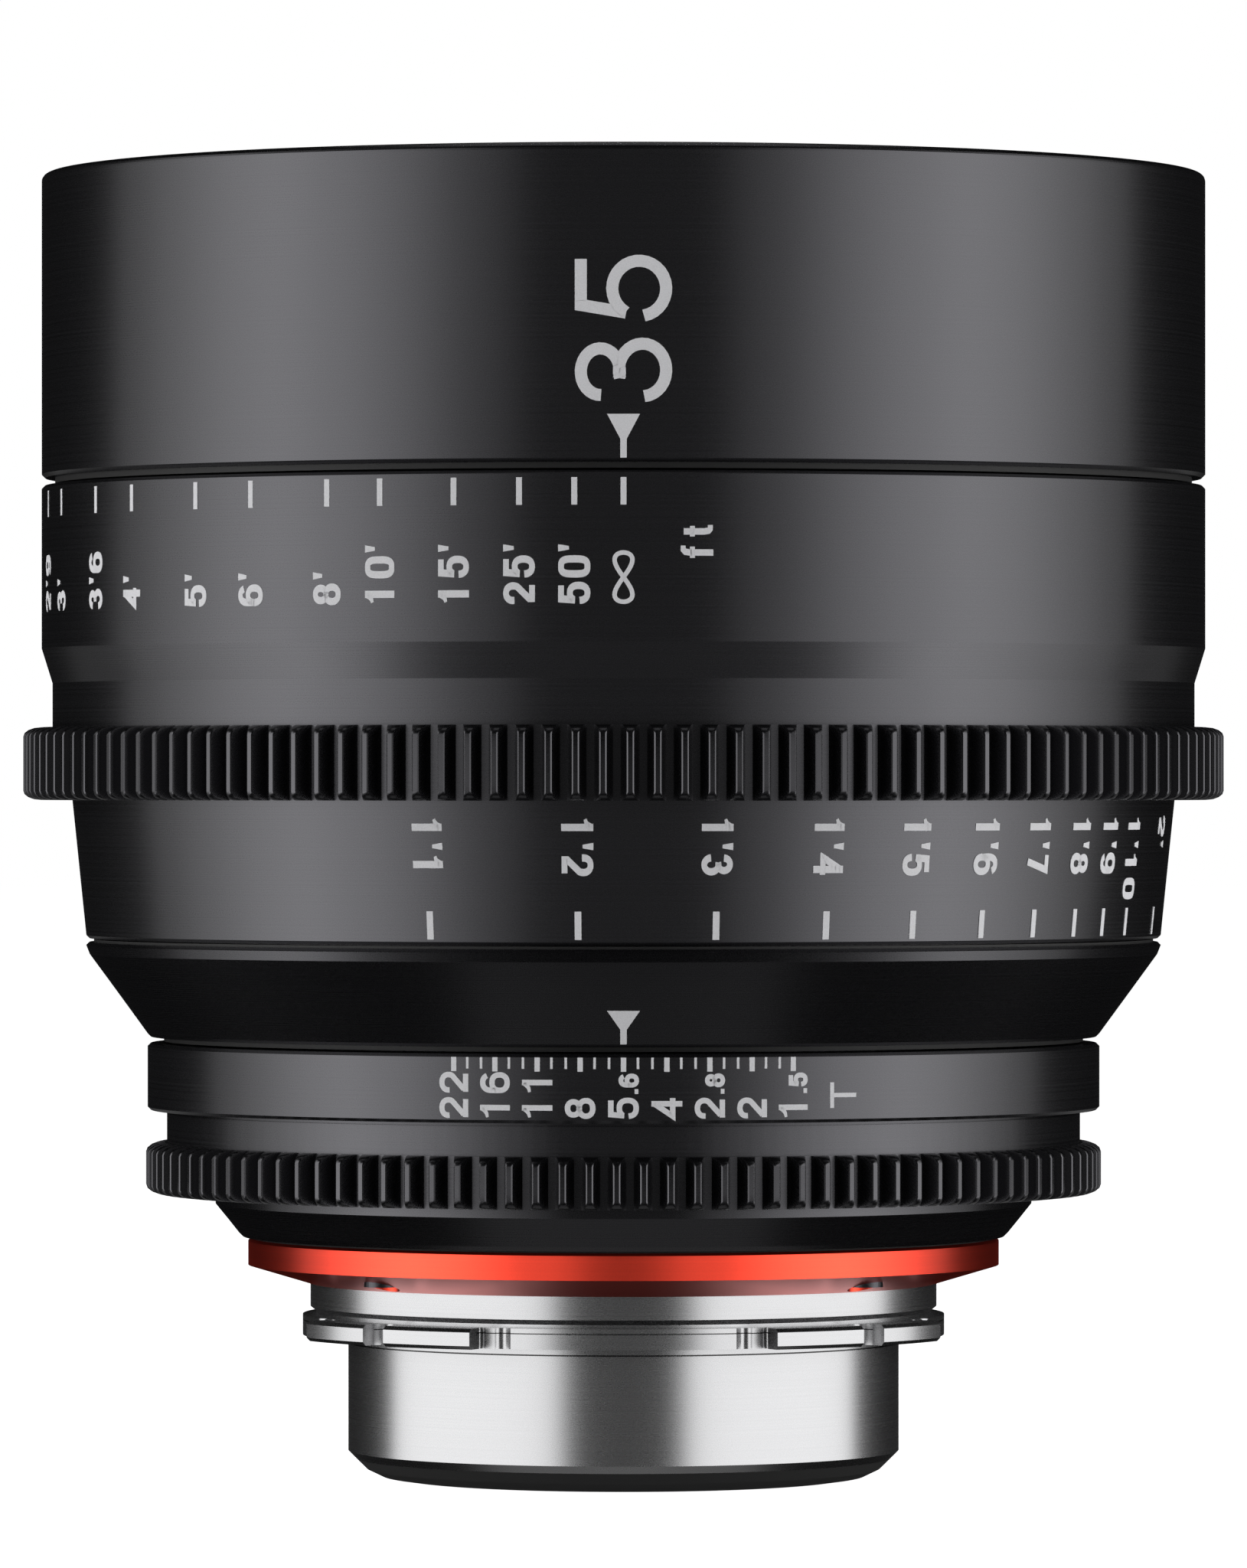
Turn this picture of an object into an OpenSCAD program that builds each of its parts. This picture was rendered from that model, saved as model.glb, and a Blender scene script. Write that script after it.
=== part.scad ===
// Cinema prime lens with a geared focus ring, a geared iris ring and a four-wing breech mount.
// The origin is the centre of the mount's flange seat, +Z is the optical axis towards the scene,
// and the scales' index marks face -Y.

/* [Front barrel] */
// Outer diameter of the front barrel, where a matte box clamps
front_d = 114; // [111:0.5:118]
// Length of the front barrel
front_len = 29.7; // [28:0.1:40]
// Wall of the front barrel's open mouth
front_wall = 3.2; // [2.4:0.1:4.5]
// Rounding of the front rim
rim_round = 0.7; // [0.3:0.1:1.2]
// Height of the skirt that centres the front barrel on the main barrel
skirt_len = 4.2; // [3:0.1:6]
// Thickness of the front barrel's inner flange
front_flange_t = 2.5; // [2:0.1:3.5]
// Rise of the stepped baffle from the front glass to the barrel's wall
baffle_rise = 8; // [5:0.5:10]
// Number of light-trap steps in the baffle
baffle_steps = 9; // [6:1:12]

/* [Focus ring] */
// Length of the focus ring in front of its gear
focus_front_len = 23.6; // [22.5:0.1:32]
// Depth of the waist between the gear's root and the ring beside it
waist_drop = 1.05; // [0.6:0.05:2]
// Length of that waist
waist_len = 4.3; // [2:0.1:8]
// Length of the taper from the waist to the full diameter
taper_len = 3.4; // [1:0.1:8]
// Length of the focus ring behind its gear
focus_rear_len = 13.5; // [12.5:0.1:18]
// Step from the front diameter to the focus ring's rear end and the index cone, on the radius
focus_step = 4.35; // [3.5:0.05:5.2]
// Widening of the rear part towards the gear, on the radius
focus_flare = 1.35; // [0:0.05:2.4]
// Wall of the focus ring's rear end
focus_wall = 1.5; // [1.2:0.1:2]
// Wall of the focus ring's hollow front part
focus_shell = 3; // [2:0.1:4]
// Turn of the focus ring from infinity to its closest mark, in degrees
focus_throw = 200; // [160:5:220]
// Travel of the focusing group over that turn
focus_travel = 6; // [5:0.1:6.8]

/* [Drive gears] */
// Module of both drive gears
gear_module = 0.8; // [0.78:0.01:0.82]
// Pitch diameter of the focus gear over the front diameter
focus_gear_rise = 2; // [1:0.1:5]
// Face width of the focus gear
focus_gear_w = 7.1; // [6:0.1:9]
// Pitch diameter of the iris gear under the iris ring's diameter
iris_gear_drop = 1.3; // [0.4:0.1:2.2]
// Face width of the iris gear
iris_gear_w = 5; // [4:0.1:7]
// Chamfer of the tooth ends along the axis
tooth_chamfer = 0.8; // [0.3:0.1:1.2]
// Radial depth of that chamfer
tooth_bevel = 1.1; // [0.5:0.1:1.6]

/* [Index cone] */
// Length of the fixed index cone
index_len = 9.25; // [8.5:0.1:12]
// Height of the straight band at the cone's front edge
index_band = 1.2; // [0.6:0.1:2]

/* [Iris ring] */
// Diameter of the iris scale ring and of the index cone's rear end
iris_d = 93.3; // [92:0.1:96]
// Length of the iris scale ring
iris_scale_len = 6.5; // [6.2:0.1:9]
// Diameter of the step between the scale ring and the gear
iris_step_d = 89.5; // [88.5:0.1:90]
// Length of that step
iris_step_len = 3.2; // [3:0.1:5]
// Turn of the iris ring from wide open to smallest stop, in degrees
iris_throw = 40; // [36:1:42]
// Radial thickness of the iris ring at its step
iris_wall = 5.65; // [5:0.05:6]
// Gap between the iris ring and the index cone
iris_gap = 0.65; // [0.4:0.05:1]

/* [Iris blades] */
// Radius of the fully open iris
iris_open_r = 13; // [12:0.1:13.5]
// Radius of the smallest stop
iris_small_r = 1.2; // [0.8:0.1:2]
// Radius of the blades' pivots
pivot_r = 22; // [21:0.1:23]
// Width of a blade's crescent
blade_w = 6; // [5:0.1:6.4]
// Arc that a blade's crescent covers, in degrees
blade_span = 100; // [90:1:110]
// Thickness of a blade
blade_t = 0.12; // [0.08:0.01:0.14]
// Height of one blade's layer
blade_pitch = 0.2; // [0.18:0.01:0.24]
// Diameter of the blades' pins
blade_pin_d = 1; // [0.8:0.05:1.2]
// Distance from a blade's pivot to its drive pin
blade_arm = 7; // [6.6:0.1:7.5]

/* [Rear barrel and red ring] */
// Length of the rear barrel's visible taper
rear_len = 4.1; // [3.5:0.1:6]
// Shoulder that holds the iris ring from behind
rear_shoulder = 1; // [0.6:0.1:1.6]
// Wall of the rear barrel's tube
rear_wall = 2.8; // [2.4:0.1:3.2]
// Width of the red ring outside the mount's collar
red_lip = 6.1; // [5.3:0.05:6.8]
// Overhang of the rear barrel over the red ring, on the radius
red_step = 0.95; // [0.3:0.05:1.4]
// Height of the red ring's straight band
red_band = 2.6; // [2.2:0.1:4]
// Height of the red ring's chamfer
red_bevel = 1.8; // [1.2:0.1:3]
// Thickness of the shim under the mount
shim_t = 0.2; // [0.1:0.05:0.5]

/* [Mount] */
// Diameter of the mount's spigot
spigot_d = 54; // [53:0.1:55]
// Length of the spigot behind its flange seat
spigot_len = 11.35; // [10:0.1:13]
// Wall of the spigot
spigot_wall = 3; // [2.6:0.1:3.4]
// Diameter over the four wings
wing_d = 68; // [66.5:0.1:70]
// Diameter of the flange between the wings
web_d = 62.9; // [62:0.1:63.5]
// Thickness of the wings
wing_t = 2; // [1.5:0.1:3]
// Bevel along the wings' outer edges
wing_edge = 0.35; // [0.1:0.05:0.6]
// Angle that one wing covers, in degrees
wing_span = 38.8; // [34:0.2:42]
// Width of the locating notch in each wing
notch_w = 2.8; // [2:0.1:3.6]
// Diameter of the collar in front of the wings
collar_d = 61.4; // [61:0.1:61.8]
// Height of the collar that shows behind the red ring
collar_len = 2.25; // [1.5:0.05:4]
// Height of the neck between the collar and the wings
neck_len = 0.8; // [0.5:0.05:1.5]
// Depth of the neck, on the radius
neck_drop = 0.6; // [0.3:0.05:1]
// Height of the black rear baffle
rear_baffle_h = 2; // [1.5:0.1:3]
// Width of the rear baffle's rounded edge
rear_baffle_run = 4.2; // [3:0.1:5]
// Chamfer at the spigot's rear edge
spigot_chamfer = 0.75; // [0.4:0.05:1.2]

/* [Inner barrels] */
// Wall of the cam sleeve inside the focus ring
cam_wall = 1.5; // [1.3:0.1:1.6]
// Wall of the main barrel
main_wall = 3; // [2.7:0.1:3.3]
// Thickness of the main barrel's floor
main_floor = 4.6; // [4:0.1:5]
// Diameter of the cam rollers
roller_d = 2; // [1.6:0.1:2.2]
// Radius of the focusing elements
focus_glass_r = 27; // [25:0.5:28]
// Radius of the front element
front_glass_r = 36; // [34:0.5:37]
// Radius of the second and third elements
second_glass_r = 30; // [29:0.5:31]
// Wall of the rear lens cell
rear_cell_wall = 3.8; // [3:0.1:4.5]

/* [Clearances] */
// Radial clearance of a turning or sliding fit
run_c = 0.1; // [0.08:0.01:0.12]
// Radial clearance of an assembled fit
fit_c = 0.05; // [0.03:0.01:0.08]
// Side clearance of a pin or roller in its slot
slot_c = 0.2; // [0.12:0.02:0.26]
// Gap between the focus ring and the index cone
rear_gap = 0.38; // [0.3:0.02:0.6]
// Gap between the focus ring and the front barrel
front_gap = 0.77; // [0.5:0.01:1]

/* [Hidden] */
$fn = 180;
BLADES = 11;
WINGS = 4;
ROLLERS = 3;
BARREL_SCREWS = 6;
IRIS_SCREWS = 3;

// Colours of the finishes
BLACK = [0.09, 0.09, 0.1];
MATT = [0.05, 0.05, 0.055];
RED = [0.72, 0.12, 0.12];
STEEL = [0.72, 0.72, 0.72];
BRASS = [0.78, 0.63, 0.3];
GLASS = [0.55, 0.7, 0.78, 0.5];
POLYMER = [0.85, 0.85, 0.82];
DARK_STEEL = [0.24, 0.24, 0.26];

// Seating of the main barrel in the index cone
main_sink = 0.4;
main_step_part = 0.65;
foot_inset = 0.3;

// Levels along the axis, from the flange seat forwards
z_wing = wing_t;
z_neck = z_wing + neck_len;
z_red = z_neck + collar_len;
z_red_band = z_red + red_bevel;
z_red_top = z_red_band + red_band;
z_rear = z_red_top + shim_t;
z_shoulder = z_rear + rear_len;
z_igear = z_shoulder + run_c;
z_istep = z_igear + iris_gear_w;
z_iscale = z_istep + iris_step_len;
z_iris_top = z_iscale + iris_scale_len;
z_index = z_iris_top + iris_gap;
z_index_top = z_index + index_len;
z_focus = z_index_top + rear_gap;
z_fgear = z_focus + focus_rear_len;
z_ffront = z_fgear + focus_gear_w;
z_focus_top = z_ffront + focus_front_len;
z_front = z_focus_top + front_gap;
z_rim = z_front + front_len;
z_main = z_index_top - main_floor - main_sink;
z_main_step = z_main + main_floor * main_step_part;
z_main_floor = z_main + main_floor;
z_main_top = z_front + skirt_len;
z_front_flange = z_main_top + fit_c;
z_cell_seat = z_front_flange + front_flange_t;
z_spigot = -spigot_len;
z_baffle = z_spigot - spigot_chamfer;

// Radii, from the outside in
front_r = front_d / 2;
mouth_r = front_r - front_wall;
focus_rear_r = front_r - focus_step;
cam_ro = focus_rear_r - focus_wall - fit_c;
cam_ri = cam_ro - cam_wall;
main_ro = cam_ri - run_c;
main_ri = main_ro - main_wall;
focus_cell_r = main_ri - run_c;
focus_bore = cam_ro + fit_c;
iris_r = iris_d / 2;
iris_step_r = iris_step_d / 2;
iris_bore = iris_step_r - iris_wall;
rear_tube_r = iris_bore - run_c;
rear_bore = rear_tube_r - rear_wall;
collar_r = collar_d / 2;
red_r = collar_r + red_lip;
wing_r = wing_d / 2;
web_r = web_d / 2;
spigot_r = spigot_d / 2;
mount_bore = spigot_r - spigot_wall;
rear_cell_r = mount_bore - fit_c;
rear_glass_r = rear_cell_r - rear_cell_wall - fit_c;
main_foot_r = iris_r - foot_inset;

// Gears: whole teeth, an addendum of one module and a dedendum of 1.25 modules
focus_teeth = round((front_d + focus_gear_rise) / gear_module);
iris_teeth = round((iris_d - iris_gear_drop) / gear_module);
function tip_r(teeth) = gear_module * (teeth + 2) / 2;
function root_r(teeth) = gear_module * (teeth - 2.5) / 2;
focus_root_r = root_r(focus_teeth);
waist_r = focus_root_r - waist_drop;

// Fasteners
screw_r = 0.8;
screw_head_r = 1.5;
screw_head_h = 0.9;
mount_screw_r = 1;
mount_head_r = 1.7;
mount_head_h = 1;
head_margin = 0.4;
screw_thread = 5;
barrel_thread = 4;
iris_thread = 2.5;
mount_thread = 3.5;
drill_extra = 0.3;
mount_screw_pcr = collar_r + mount_head_r + head_margin;
flange_screw_pcr = (mount_bore + collar_r) / 2;
front_screw_pcr = main_ro - main_wall / 2;
front_screw_angle = 30;
barrel_screw_pcr = rear_tube_r - rear_wall / 2;
barrel_screw_angle = 15;
iris_screw_angle = 60;
wing_angle = 45;
roller_angle = 90;
drive_angle = 90;

// Iris layers, from the base plate forwards
iris_seat_t = 4.6;
base_t = 1.6;
layer_gap = 0.2;
stack_h = BLADES * blade_pitch;
drive_t = 1.2;
drive_rim_h = 2.4;
rim_w = 4.6;
drive_pin_r = 0.8;
iris_lock_t = 1.6;
iris_open_margin = 0.2;
iris_ledge_t = 2.2;
iris_lock_gap = 0.3;
iris_screw_inset = 2.2;
drive_pin_inset = 2.2;
pin_float = 0.1;
z_ledge = z_shoulder + iris_ledge_t;
z_base = z_ledge + iris_seat_t;
z_blade = z_base + base_t + layer_gap;
z_drive = z_blade + stack_h + layer_gap;
z_drive_rim = z_drive + drive_rim_h;
z_drive_pin = z_drive_rim - drive_rim_h / 2;
z_iris_lock = z_drive_rim + iris_lock_gap;
plate_r = rear_bore - fit_c;
drive_ro = rear_bore - run_c;
rim_ri = drive_ro - rim_w;
iris_screw_pcr = rim_ri - iris_screw_inset;

// Blade motion: the crescent's centre swings from the axis by the chosen stop's depth
blade_ri = iris_open_r + iris_open_margin;
blade_ro = blade_ri + blade_w;
blade_swing = 2 * asin((blade_ri - iris_small_r) / (2 * pivot_r));
blade_ratio = blade_swing / iris_throw;
pin_r = blade_pin_d / 2;
pad_r = 1.8;
ear_r = 1.2;
blade_root = -4;
drive_lap = 1.2;
sweep_spare = 1.5;

// Focusing group, hung from its rollers behind the focus gear
z_roller = z_fgear + focus_gear_w / 2;
roller_r = roller_d / 2;
slot_r = roller_r + slot_c;
slot_runout = 0.15;
roller_shank = 4;
web_t = 6;

// Sag of a sphere of radius s at height r from the axis
function sag(s, r) = s - sqrt(s * s - r * r);

// Rotates the closed outline around the optical axis
module revolve(outline) {
    rotate_extrude()
        polygon(outline);
}

module tube(ro, ri, z0, z1) {
    revolve([[ri, z0], [ro, z0], [ro, z1], [ri, z1]]);
}

module rod(r, z0, z1) {
    translate([0, 0, z0])
        cylinder(r = r, h = z1 - z0);
}

// Copies the children around the axis
module around(count, first = 0) {
    for (k = [0:count - 1])
        rotate([0, 0, first + k * 360 / count])
            children();
}

// Screw with its head's underside at the origin and its shank along -Z
module screw(shank_r, length, head_r, head_h) {
    difference() {
        union() {
            cylinder(r = head_r, h = head_h);
            translate([0, 0, -length])
                cylinder(r = shank_r, h = length + 0.1);
        }
        translate([0, 0, head_h * 0.4])
            cylinder(r = head_r * 0.5, h = head_h, $fn = 6);
    }
}

// Lens element between two spherical faces with their vertices at zf and zb. A positive radius
// bulges outwards, a negative one is hollow out to its clear radius, and zero is flat.
module lens(r, zf, rf, zb, rb, clear_f = 0, clear_b = 0) {
    top = rf < 0 ? zf + sag(-rf, clear_f) : zf;
    bottom = rb < 0 ? zb - sag(-rb, clear_b) : zb;
    color(GLASS)
        rotate_extrude()
            difference() {
                intersection() {
                    translate([0, bottom])
                        square([r, top - bottom]);
                    if (rf > 0)
                        translate([0, zf - rf])
                            circle(r = rf);
                    if (rb > 0)
                        translate([0, zb + rb])
                            circle(r = rb);
                }
                if (rf < 0)
                    translate([0, zf - rf])
                        circle(r = -rf);
                if (rb < 0)
                    translate([0, zb + rb])
                        circle(r = -rb);
            }
}

// Outline of a spur gear with straight-sided teeth of a 20 degree drive
function gear_outline(teeth) =
    let (
        pitch = 360 / teeth,
        root = root_r(teeth),
        tip = tip_r(teeth),
        root_half = pitch * 0.36,
        tip_half = pitch * 0.12
    )
    [
        for (k = [0:teeth - 1])
            for (p = [[root, -root_half], [tip, -tip_half], [tip, tip_half], [root, root_half]])
                p[0] * [cos(k * pitch + p[1]), sin(k * pitch + p[1])]
    ];

// Toothed ring with bevelled tooth ends and a plain bore
module gear_ring(teeth, bore, z0, width) {
    tip = tip_r(teeth) + 0.1;
    intersection() {
        translate([0, 0, z0])
            linear_extrude(width)
                polygon(gear_outline(teeth));
        revolve([
            [bore, z0],
            [tip - tooth_bevel, z0],
            [tip, z0 + tooth_chamfer],
            [tip, z0 + width - tooth_chamfer],
            [tip - tooth_bevel, z0 + width],
            [bore, z0 + width]
        ]);
    }
}

// Front group: the first glass stands on the front cell's upper seat
front_seat_sink = 1.6;
front_seat_pitch = 7.7;
front_glass_t = 3.5;
second_glass_t = 2.5;
third_glass_t = 11;
third_rise = 3.1;
z_seat_1 = z_cell_seat - front_seat_sink;
seat_1_lip = 5;
seat_2_lip = 4;
seat_1_clear = front_glass_r - seat_1_lip;
rf_1 = 90;
rb_1 = 60;
zb_1 = z_seat_1 + sag(rb_1, seat_1_clear);
zf_1 = zb_1 + front_glass_t;
rf_2 = 110;
rb_2 = 50;
seat_2_clear = second_glass_r - seat_2_lip;
z_seat_2 = z_seat_1 - front_seat_pitch;
zb_2 = z_seat_2 + sag(rb_2, seat_2_clear);
zf_2 = zb_2 + second_glass_t;
rf_3 = 90;
rb_3 = 120;
zf_3 = z_seat_2 + third_rise;
zb_3 = zf_3 - third_glass_t;
spacer_w = 1.5;
front_spacer_r = second_glass_r - spacer_w;
cell_lip = 2;
cell_foot_rise = 1.3;
cell_top_drop = 3;
cell_wall = 3;
cell_mouth_wall = 3.5;
cell_inset = 3.5;
cell_flange_w = 3;
cell_lip_r = second_glass_r - cell_lip;
z_cell_foot = zb_3 + cell_foot_rise;
z_cell_top = zf_1 - cell_top_drop;
front_cell_r = main_ri - cell_inset;
cell_tube_r = second_glass_r + cell_wall;
cell_mouth_r = front_glass_r + cell_mouth_wall;
cell_flange_r = front_cell_r + cell_flange_w;
cell_flange_t = 2;

module front_barrel() {
    rim_arc = [for (a = [0:15:90])
        [front_r - rim_round + rim_round * cos(a), z_rim - rim_round + rim_round * sin(a)]];
    edge = 0.35;
    bevel = 0.9;
    color(BLACK)
        difference() {
            revolve(concat(
                [
                    [main_ro + fit_c, z_front],
                    [front_r - edge, z_front],
                    [front_r, z_front + edge]
                ],
                rim_arc,
                [
                    [mouth_r + bevel, z_rim],
                    [mouth_r, z_rim - bevel],
                    [mouth_r, z_cell_seat],
                    [front_cell_r + fit_c, z_cell_seat],
                    [front_cell_r + fit_c, z_front_flange],
                    [main_ro + fit_c, z_front_flange]
                ]
            ));
            around(BARREL_SCREWS, front_screw_angle)
                translate([front_screw_pcr, 0, 0])
                    rod(screw_r + fit_c, z_front_flange - 1, z_cell_seat + 1);
        }
}

module front_baffle() {
    inner = front_glass_r + 0.9;
    outer = mouth_r - fit_c;
    step_w = (outer - inner - 2) / baffle_steps;
    step_h = baffle_rise / baffle_steps;
    z0 = z_cell_top + fit_c;
    stairs = [for (k = [0:baffle_steps - 1]) for (h = [0, 1])
        [inner + 1 + (k + h) * step_w, z0 + 1.2 + k * step_h]];
    color(MATT)
        revolve(concat(
            [[inner, z0], [inner, z0 + 1.2]],
            stairs,
            [
                [outer - 1, z0 + 1.2 + baffle_rise],
                [outer, z0 + 1.2 + baffle_rise],
                [outer, z0 + baffle_rise - 2],
                [cell_mouth_r + 0.5, z0]
            ]
        ));
}

module front_retaining_ring() {
    inner = front_glass_r - 2.2;
    z0 = zf_1 - sag(rf_1, inner) + fit_c;
    color(MATT)
        revolve([
            [inner, z0],
            [front_glass_r - fit_c, z0],
            [front_glass_r - fit_c, z_cell_top - 0.4],
            [inner + 1.2, z_cell_top - 0.4],
            [inner, z0 + 0.8]
        ]);
}

module front_cell() {
    seat = z_cell_seat + fit_c;
    color(BLACK)
        revolve([
            [cell_lip_r, z_cell_foot],
            [cell_tube_r, z_cell_foot],
            [cell_tube_r, z_front_flange],
            [front_cell_r, z_front_flange],
            [front_cell_r, seat],
            [cell_flange_r, seat],
            [cell_flange_r, seat + cell_flange_t],
            [cell_mouth_r, seat + cell_flange_t],
            [cell_mouth_r, z_cell_top],
            [front_glass_r + fit_c, z_cell_top],
            [front_glass_r + fit_c, z_seat_1],
            [second_glass_r + fit_c, z_seat_1],
            [second_glass_r + fit_c, zb_3 + sag(rb_3, second_glass_r) - fit_c],
            [cell_lip_r, zb_3 + sag(rb_3, cell_lip_r) - fit_c]
        ]);
}

module front_element() {
    lens(front_glass_r, zf_1, rf_1, zb_1, -rb_1, clear_b = seat_1_clear);
}

module second_element() {
    lens(second_glass_r, zf_2, rf_2, zb_2, -rb_2, clear_b = seat_2_clear);
}

module third_element() {
    lens(second_glass_r, zf_3, rf_3, zb_3, rb_3);
}

module front_spacer() {
    z0 = zf_3 - sag(rf_3, front_spacer_r) + fit_c;
    color(MATT)
        tube(second_glass_r, front_spacer_r, z0, z_seat_2);
}

module front_barrel_screws() {
    color(STEEL)
        around(BARREL_SCREWS, front_screw_angle)
            translate([front_screw_pcr, 0, z_cell_seat])
                screw(screw_r, front_flange_t + screw_thread, screw_head_r, screw_head_h);
}

module front_washer() {
    color(POLYMER)
        tube(front_r - 1.3, main_ro + fit_c, z_front - front_gap * 0.7, z_front);
}

// Main barrel: guides the focusing group and carries the turning focus ring
module main_barrel() {
    color(BLACK)
        difference() {
            revolve([
                [rear_bore - 2, z_main],
                [main_foot_r, z_main],
                [main_foot_r, z_main_step],
                [main_ro, z_main_step],
                [main_ro, z_main_top],
                [main_ri, z_main_top],
                [main_ri, z_main_floor],
                [rear_bore - 2, z_main_floor]
            ]);
            around(ROLLERS, roller_angle)
                guide_slot();
            around(BARREL_SCREWS, front_screw_angle)
                translate([front_screw_pcr, 0, 0])
                    rod(screw_r + fit_c, z_main_top - screw_thread - drill_extra, z_main_top + 1);
            around(BARREL_SCREWS, barrel_screw_angle)
                translate([barrel_screw_pcr, 0, 0])
                    rod(screw_r + fit_c, z_main - 1, z_main_floor + 1);
        }
}

// Straight slot in which a cam roller rises
module guide_slot() {
    for (z = [z_roller, z_roller + focus_travel])
        translate([main_ri - 1, 0, z])
            rotate([0, 90, 0])
                cylinder(r = slot_r, h = main_wall + 2);
    translate([main_ri - 1, -slot_r, z_roller])
        cube([main_wall + 2, 2 * slot_r, focus_travel]);
}

module index_cone() {
    edge = 0.3;
    color(BLACK)
        revolve([
            [rear_tube_r + fit_c, z_index],
            [iris_r - edge, z_index],
            [iris_r, z_index + edge],
            [focus_rear_r - 0.35, z_index_top - index_band],
            [focus_rear_r, z_index_top - edge],
            [focus_rear_r - edge, z_index_top],
            [main_ro + fit_c, z_index_top],
            [main_ro + fit_c, z_main_step - fit_c],
            [main_foot_r + fit_c, z_main_step - fit_c],
            [main_foot_r + fit_c, z_main - fit_c],
            [rear_tube_r + fit_c, z_main - fit_c]
        ]);
}

module barrel_screws() {
    color(STEEL)
        around(BARREL_SCREWS, barrel_screw_angle)
            translate([barrel_screw_pcr, 0, z_main_floor])
                screw(screw_r, main_floor + barrel_thread, screw_head_r, screw_head_h);
}

module rear_washer() {
    color(POLYMER)
        tube(focus_rear_r - 0.75, main_ro + fit_c, z_index_top, z_index_top + rear_gap * 0.7);
}

module iris_washer() {
    color(POLYMER)
        tube(iris_r - 1.6, rear_tube_r + fit_c, z_index - iris_gap * 0.7, z_index);
}

// Rear barrel: carries the turning iris ring outside and the iris and rear cell inside
module rear_barrel() {
    mouth_spare = 4;
    sweep = iris_throw / 2 + mouth_spare;
    slot_h = drive_pin_r + slot_c;
    mouth = [
        [0, 0],
        for (a = [-1:0.25:1])
            1.5 * rear_tube_r * [cos(a * sweep), sin(a * sweep)]
    ];
    color(BLACK)
        difference() {
            revolve([
                [mount_bore + 2, z_rear],
                [red_r + red_step - 0.4, z_rear],
                [red_r + red_step, z_rear + 0.4],
                [rear_tube_r + rear_shoulder, z_shoulder - 0.9],
                [rear_tube_r + rear_shoulder, z_shoulder],
                [rear_tube_r, z_shoulder],
                [rear_tube_r, z_main],
                [rear_bore, z_main],
                [rear_bore, z_ledge],
                [mount_bore + 2, z_ledge]
            ]);
            rotate([0, 0, drive_angle])
                translate([0, 0, z_drive_pin - slot_h])
                    linear_extrude(2 * slot_h)
                        difference() {
                            polygon(mouth);
                            circle(r = rear_bore - 1);
                        }
            around(WINGS, wing_angle)
                translate([mount_screw_pcr, 0, 0])
                    rod(mount_screw_r + fit_c, z_rear - 1, z_rear + mount_thread + drill_extra);
            around(BARREL_SCREWS, barrel_screw_angle)
                translate([barrel_screw_pcr, 0, 0])
                    rod(screw_r + fit_c, z_main - barrel_thread - drill_extra, z_main + 1);
        }
}

module iris_base_plate() {
    color(MATT)
        difference() {
            revolve([
                [iris_open_r, z_base],
                [plate_r, z_base],
                [plate_r, z_drive - fit_c],
                [rim_ri, z_drive - fit_c],
                [rim_ri, z_base + base_t],
                [iris_open_r, z_base + base_t]
            ]);
            around(BLADES)
                translate([pivot_r, 0, 0])
                    rod(pin_r + fit_c, z_base + 0.3, z_base + base_t + 1);
            around(IRIS_SCREWS, iris_screw_angle)
                translate([iris_screw_pcr, 0, 0])
                    rod(screw_r + fit_c, z_base - 1, z_base + base_t + 1);
        }
}

module iris_retaining_ring() {
    color(MATT)
        revolve([
            [rim_ri - 1, z_iris_lock],
            [plate_r, z_iris_lock],
            [plate_r, z_iris_lock + iris_lock_t],
            [rim_ri, z_iris_lock + iris_lock_t],
            [rim_ri - 1, z_iris_lock + 0.6]
        ]);
}

module iris_screws() {
    color(STEEL)
        around(IRIS_SCREWS, iris_screw_angle)
            translate([iris_screw_pcr, 0, z_base + base_t])
                screw(screw_r, base_t + iris_thread, screw_head_r, screw_head_h);
}

// Rear group: a cemented pair behind the iris and a single glass at the mount
rear_rim = 3;
rear_clear = rear_glass_r - rear_rim;
rear_lip_t = 2;
rear_thin_t = 2;
rear_thick_t = 9;
rear_air = 1.5;
rear_skirt = 2;
z_lens_4 = z_base - rear_lip_t;
rf_r1 = 50;
rb_r1 = 60;
cement_t = 0.02;
zf_r1 = z_lens_4 - sag(rf_r1, rear_clear);
zb_r1 = zf_r1 - rear_thin_t;
zf_r2 = zb_r1 - cement_t;
zb_r2 = zf_r2 - rear_thick_t;
rf_r3 = 70;
zf_r3 = zb_r2 - rear_air;
zb_r3 = zf_r3 - rear_thick_t;
rear_seat_r = rear_glass_r - 2;
z_rear_foot = zb_r3 - rear_skirt;

module rear_cell() {
    bore = rear_glass_r + fit_c;
    color(BLACK)
        difference() {
            revolve([
                [bore, z_rear_foot],
                [rear_cell_r, z_rear_foot],
                [rear_cell_r, z_ledge],
                [plate_r, z_ledge],
                [plate_r, z_base],
                [rear_clear, z_base],
                [rear_clear, z_lens_4],
                [bore, z_lens_4]
            ]);
            around(IRIS_SCREWS, iris_screw_angle)
                translate([iris_screw_pcr, 0, 0])
                    rod(screw_r + fit_c, z_base - iris_thread - drill_extra, z_base + 1);
        }
}

module rear_element_1() {
    lens(rear_glass_r, zf_r1, -rf_r1, zb_r1, -rb_r1, rear_clear, rear_glass_r);
}

module rear_element_2() {
    lens(rear_glass_r, zf_r2, rb_r1, zb_r2, rb_r1);
}

module rear_element_3() {
    lens(rear_glass_r, zf_r3, rf_r3, zb_r3, rf_r3);
}

module rear_spacer() {
    z0 = zf_r3 - sag(rf_r3, rear_seat_r) + fit_c;
    z1 = zb_r2 + sag(rb_r1, rear_seat_r) - fit_c;
    color(MATT)
        tube(rear_glass_r, rear_seat_r, z0, z1);
}

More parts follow.
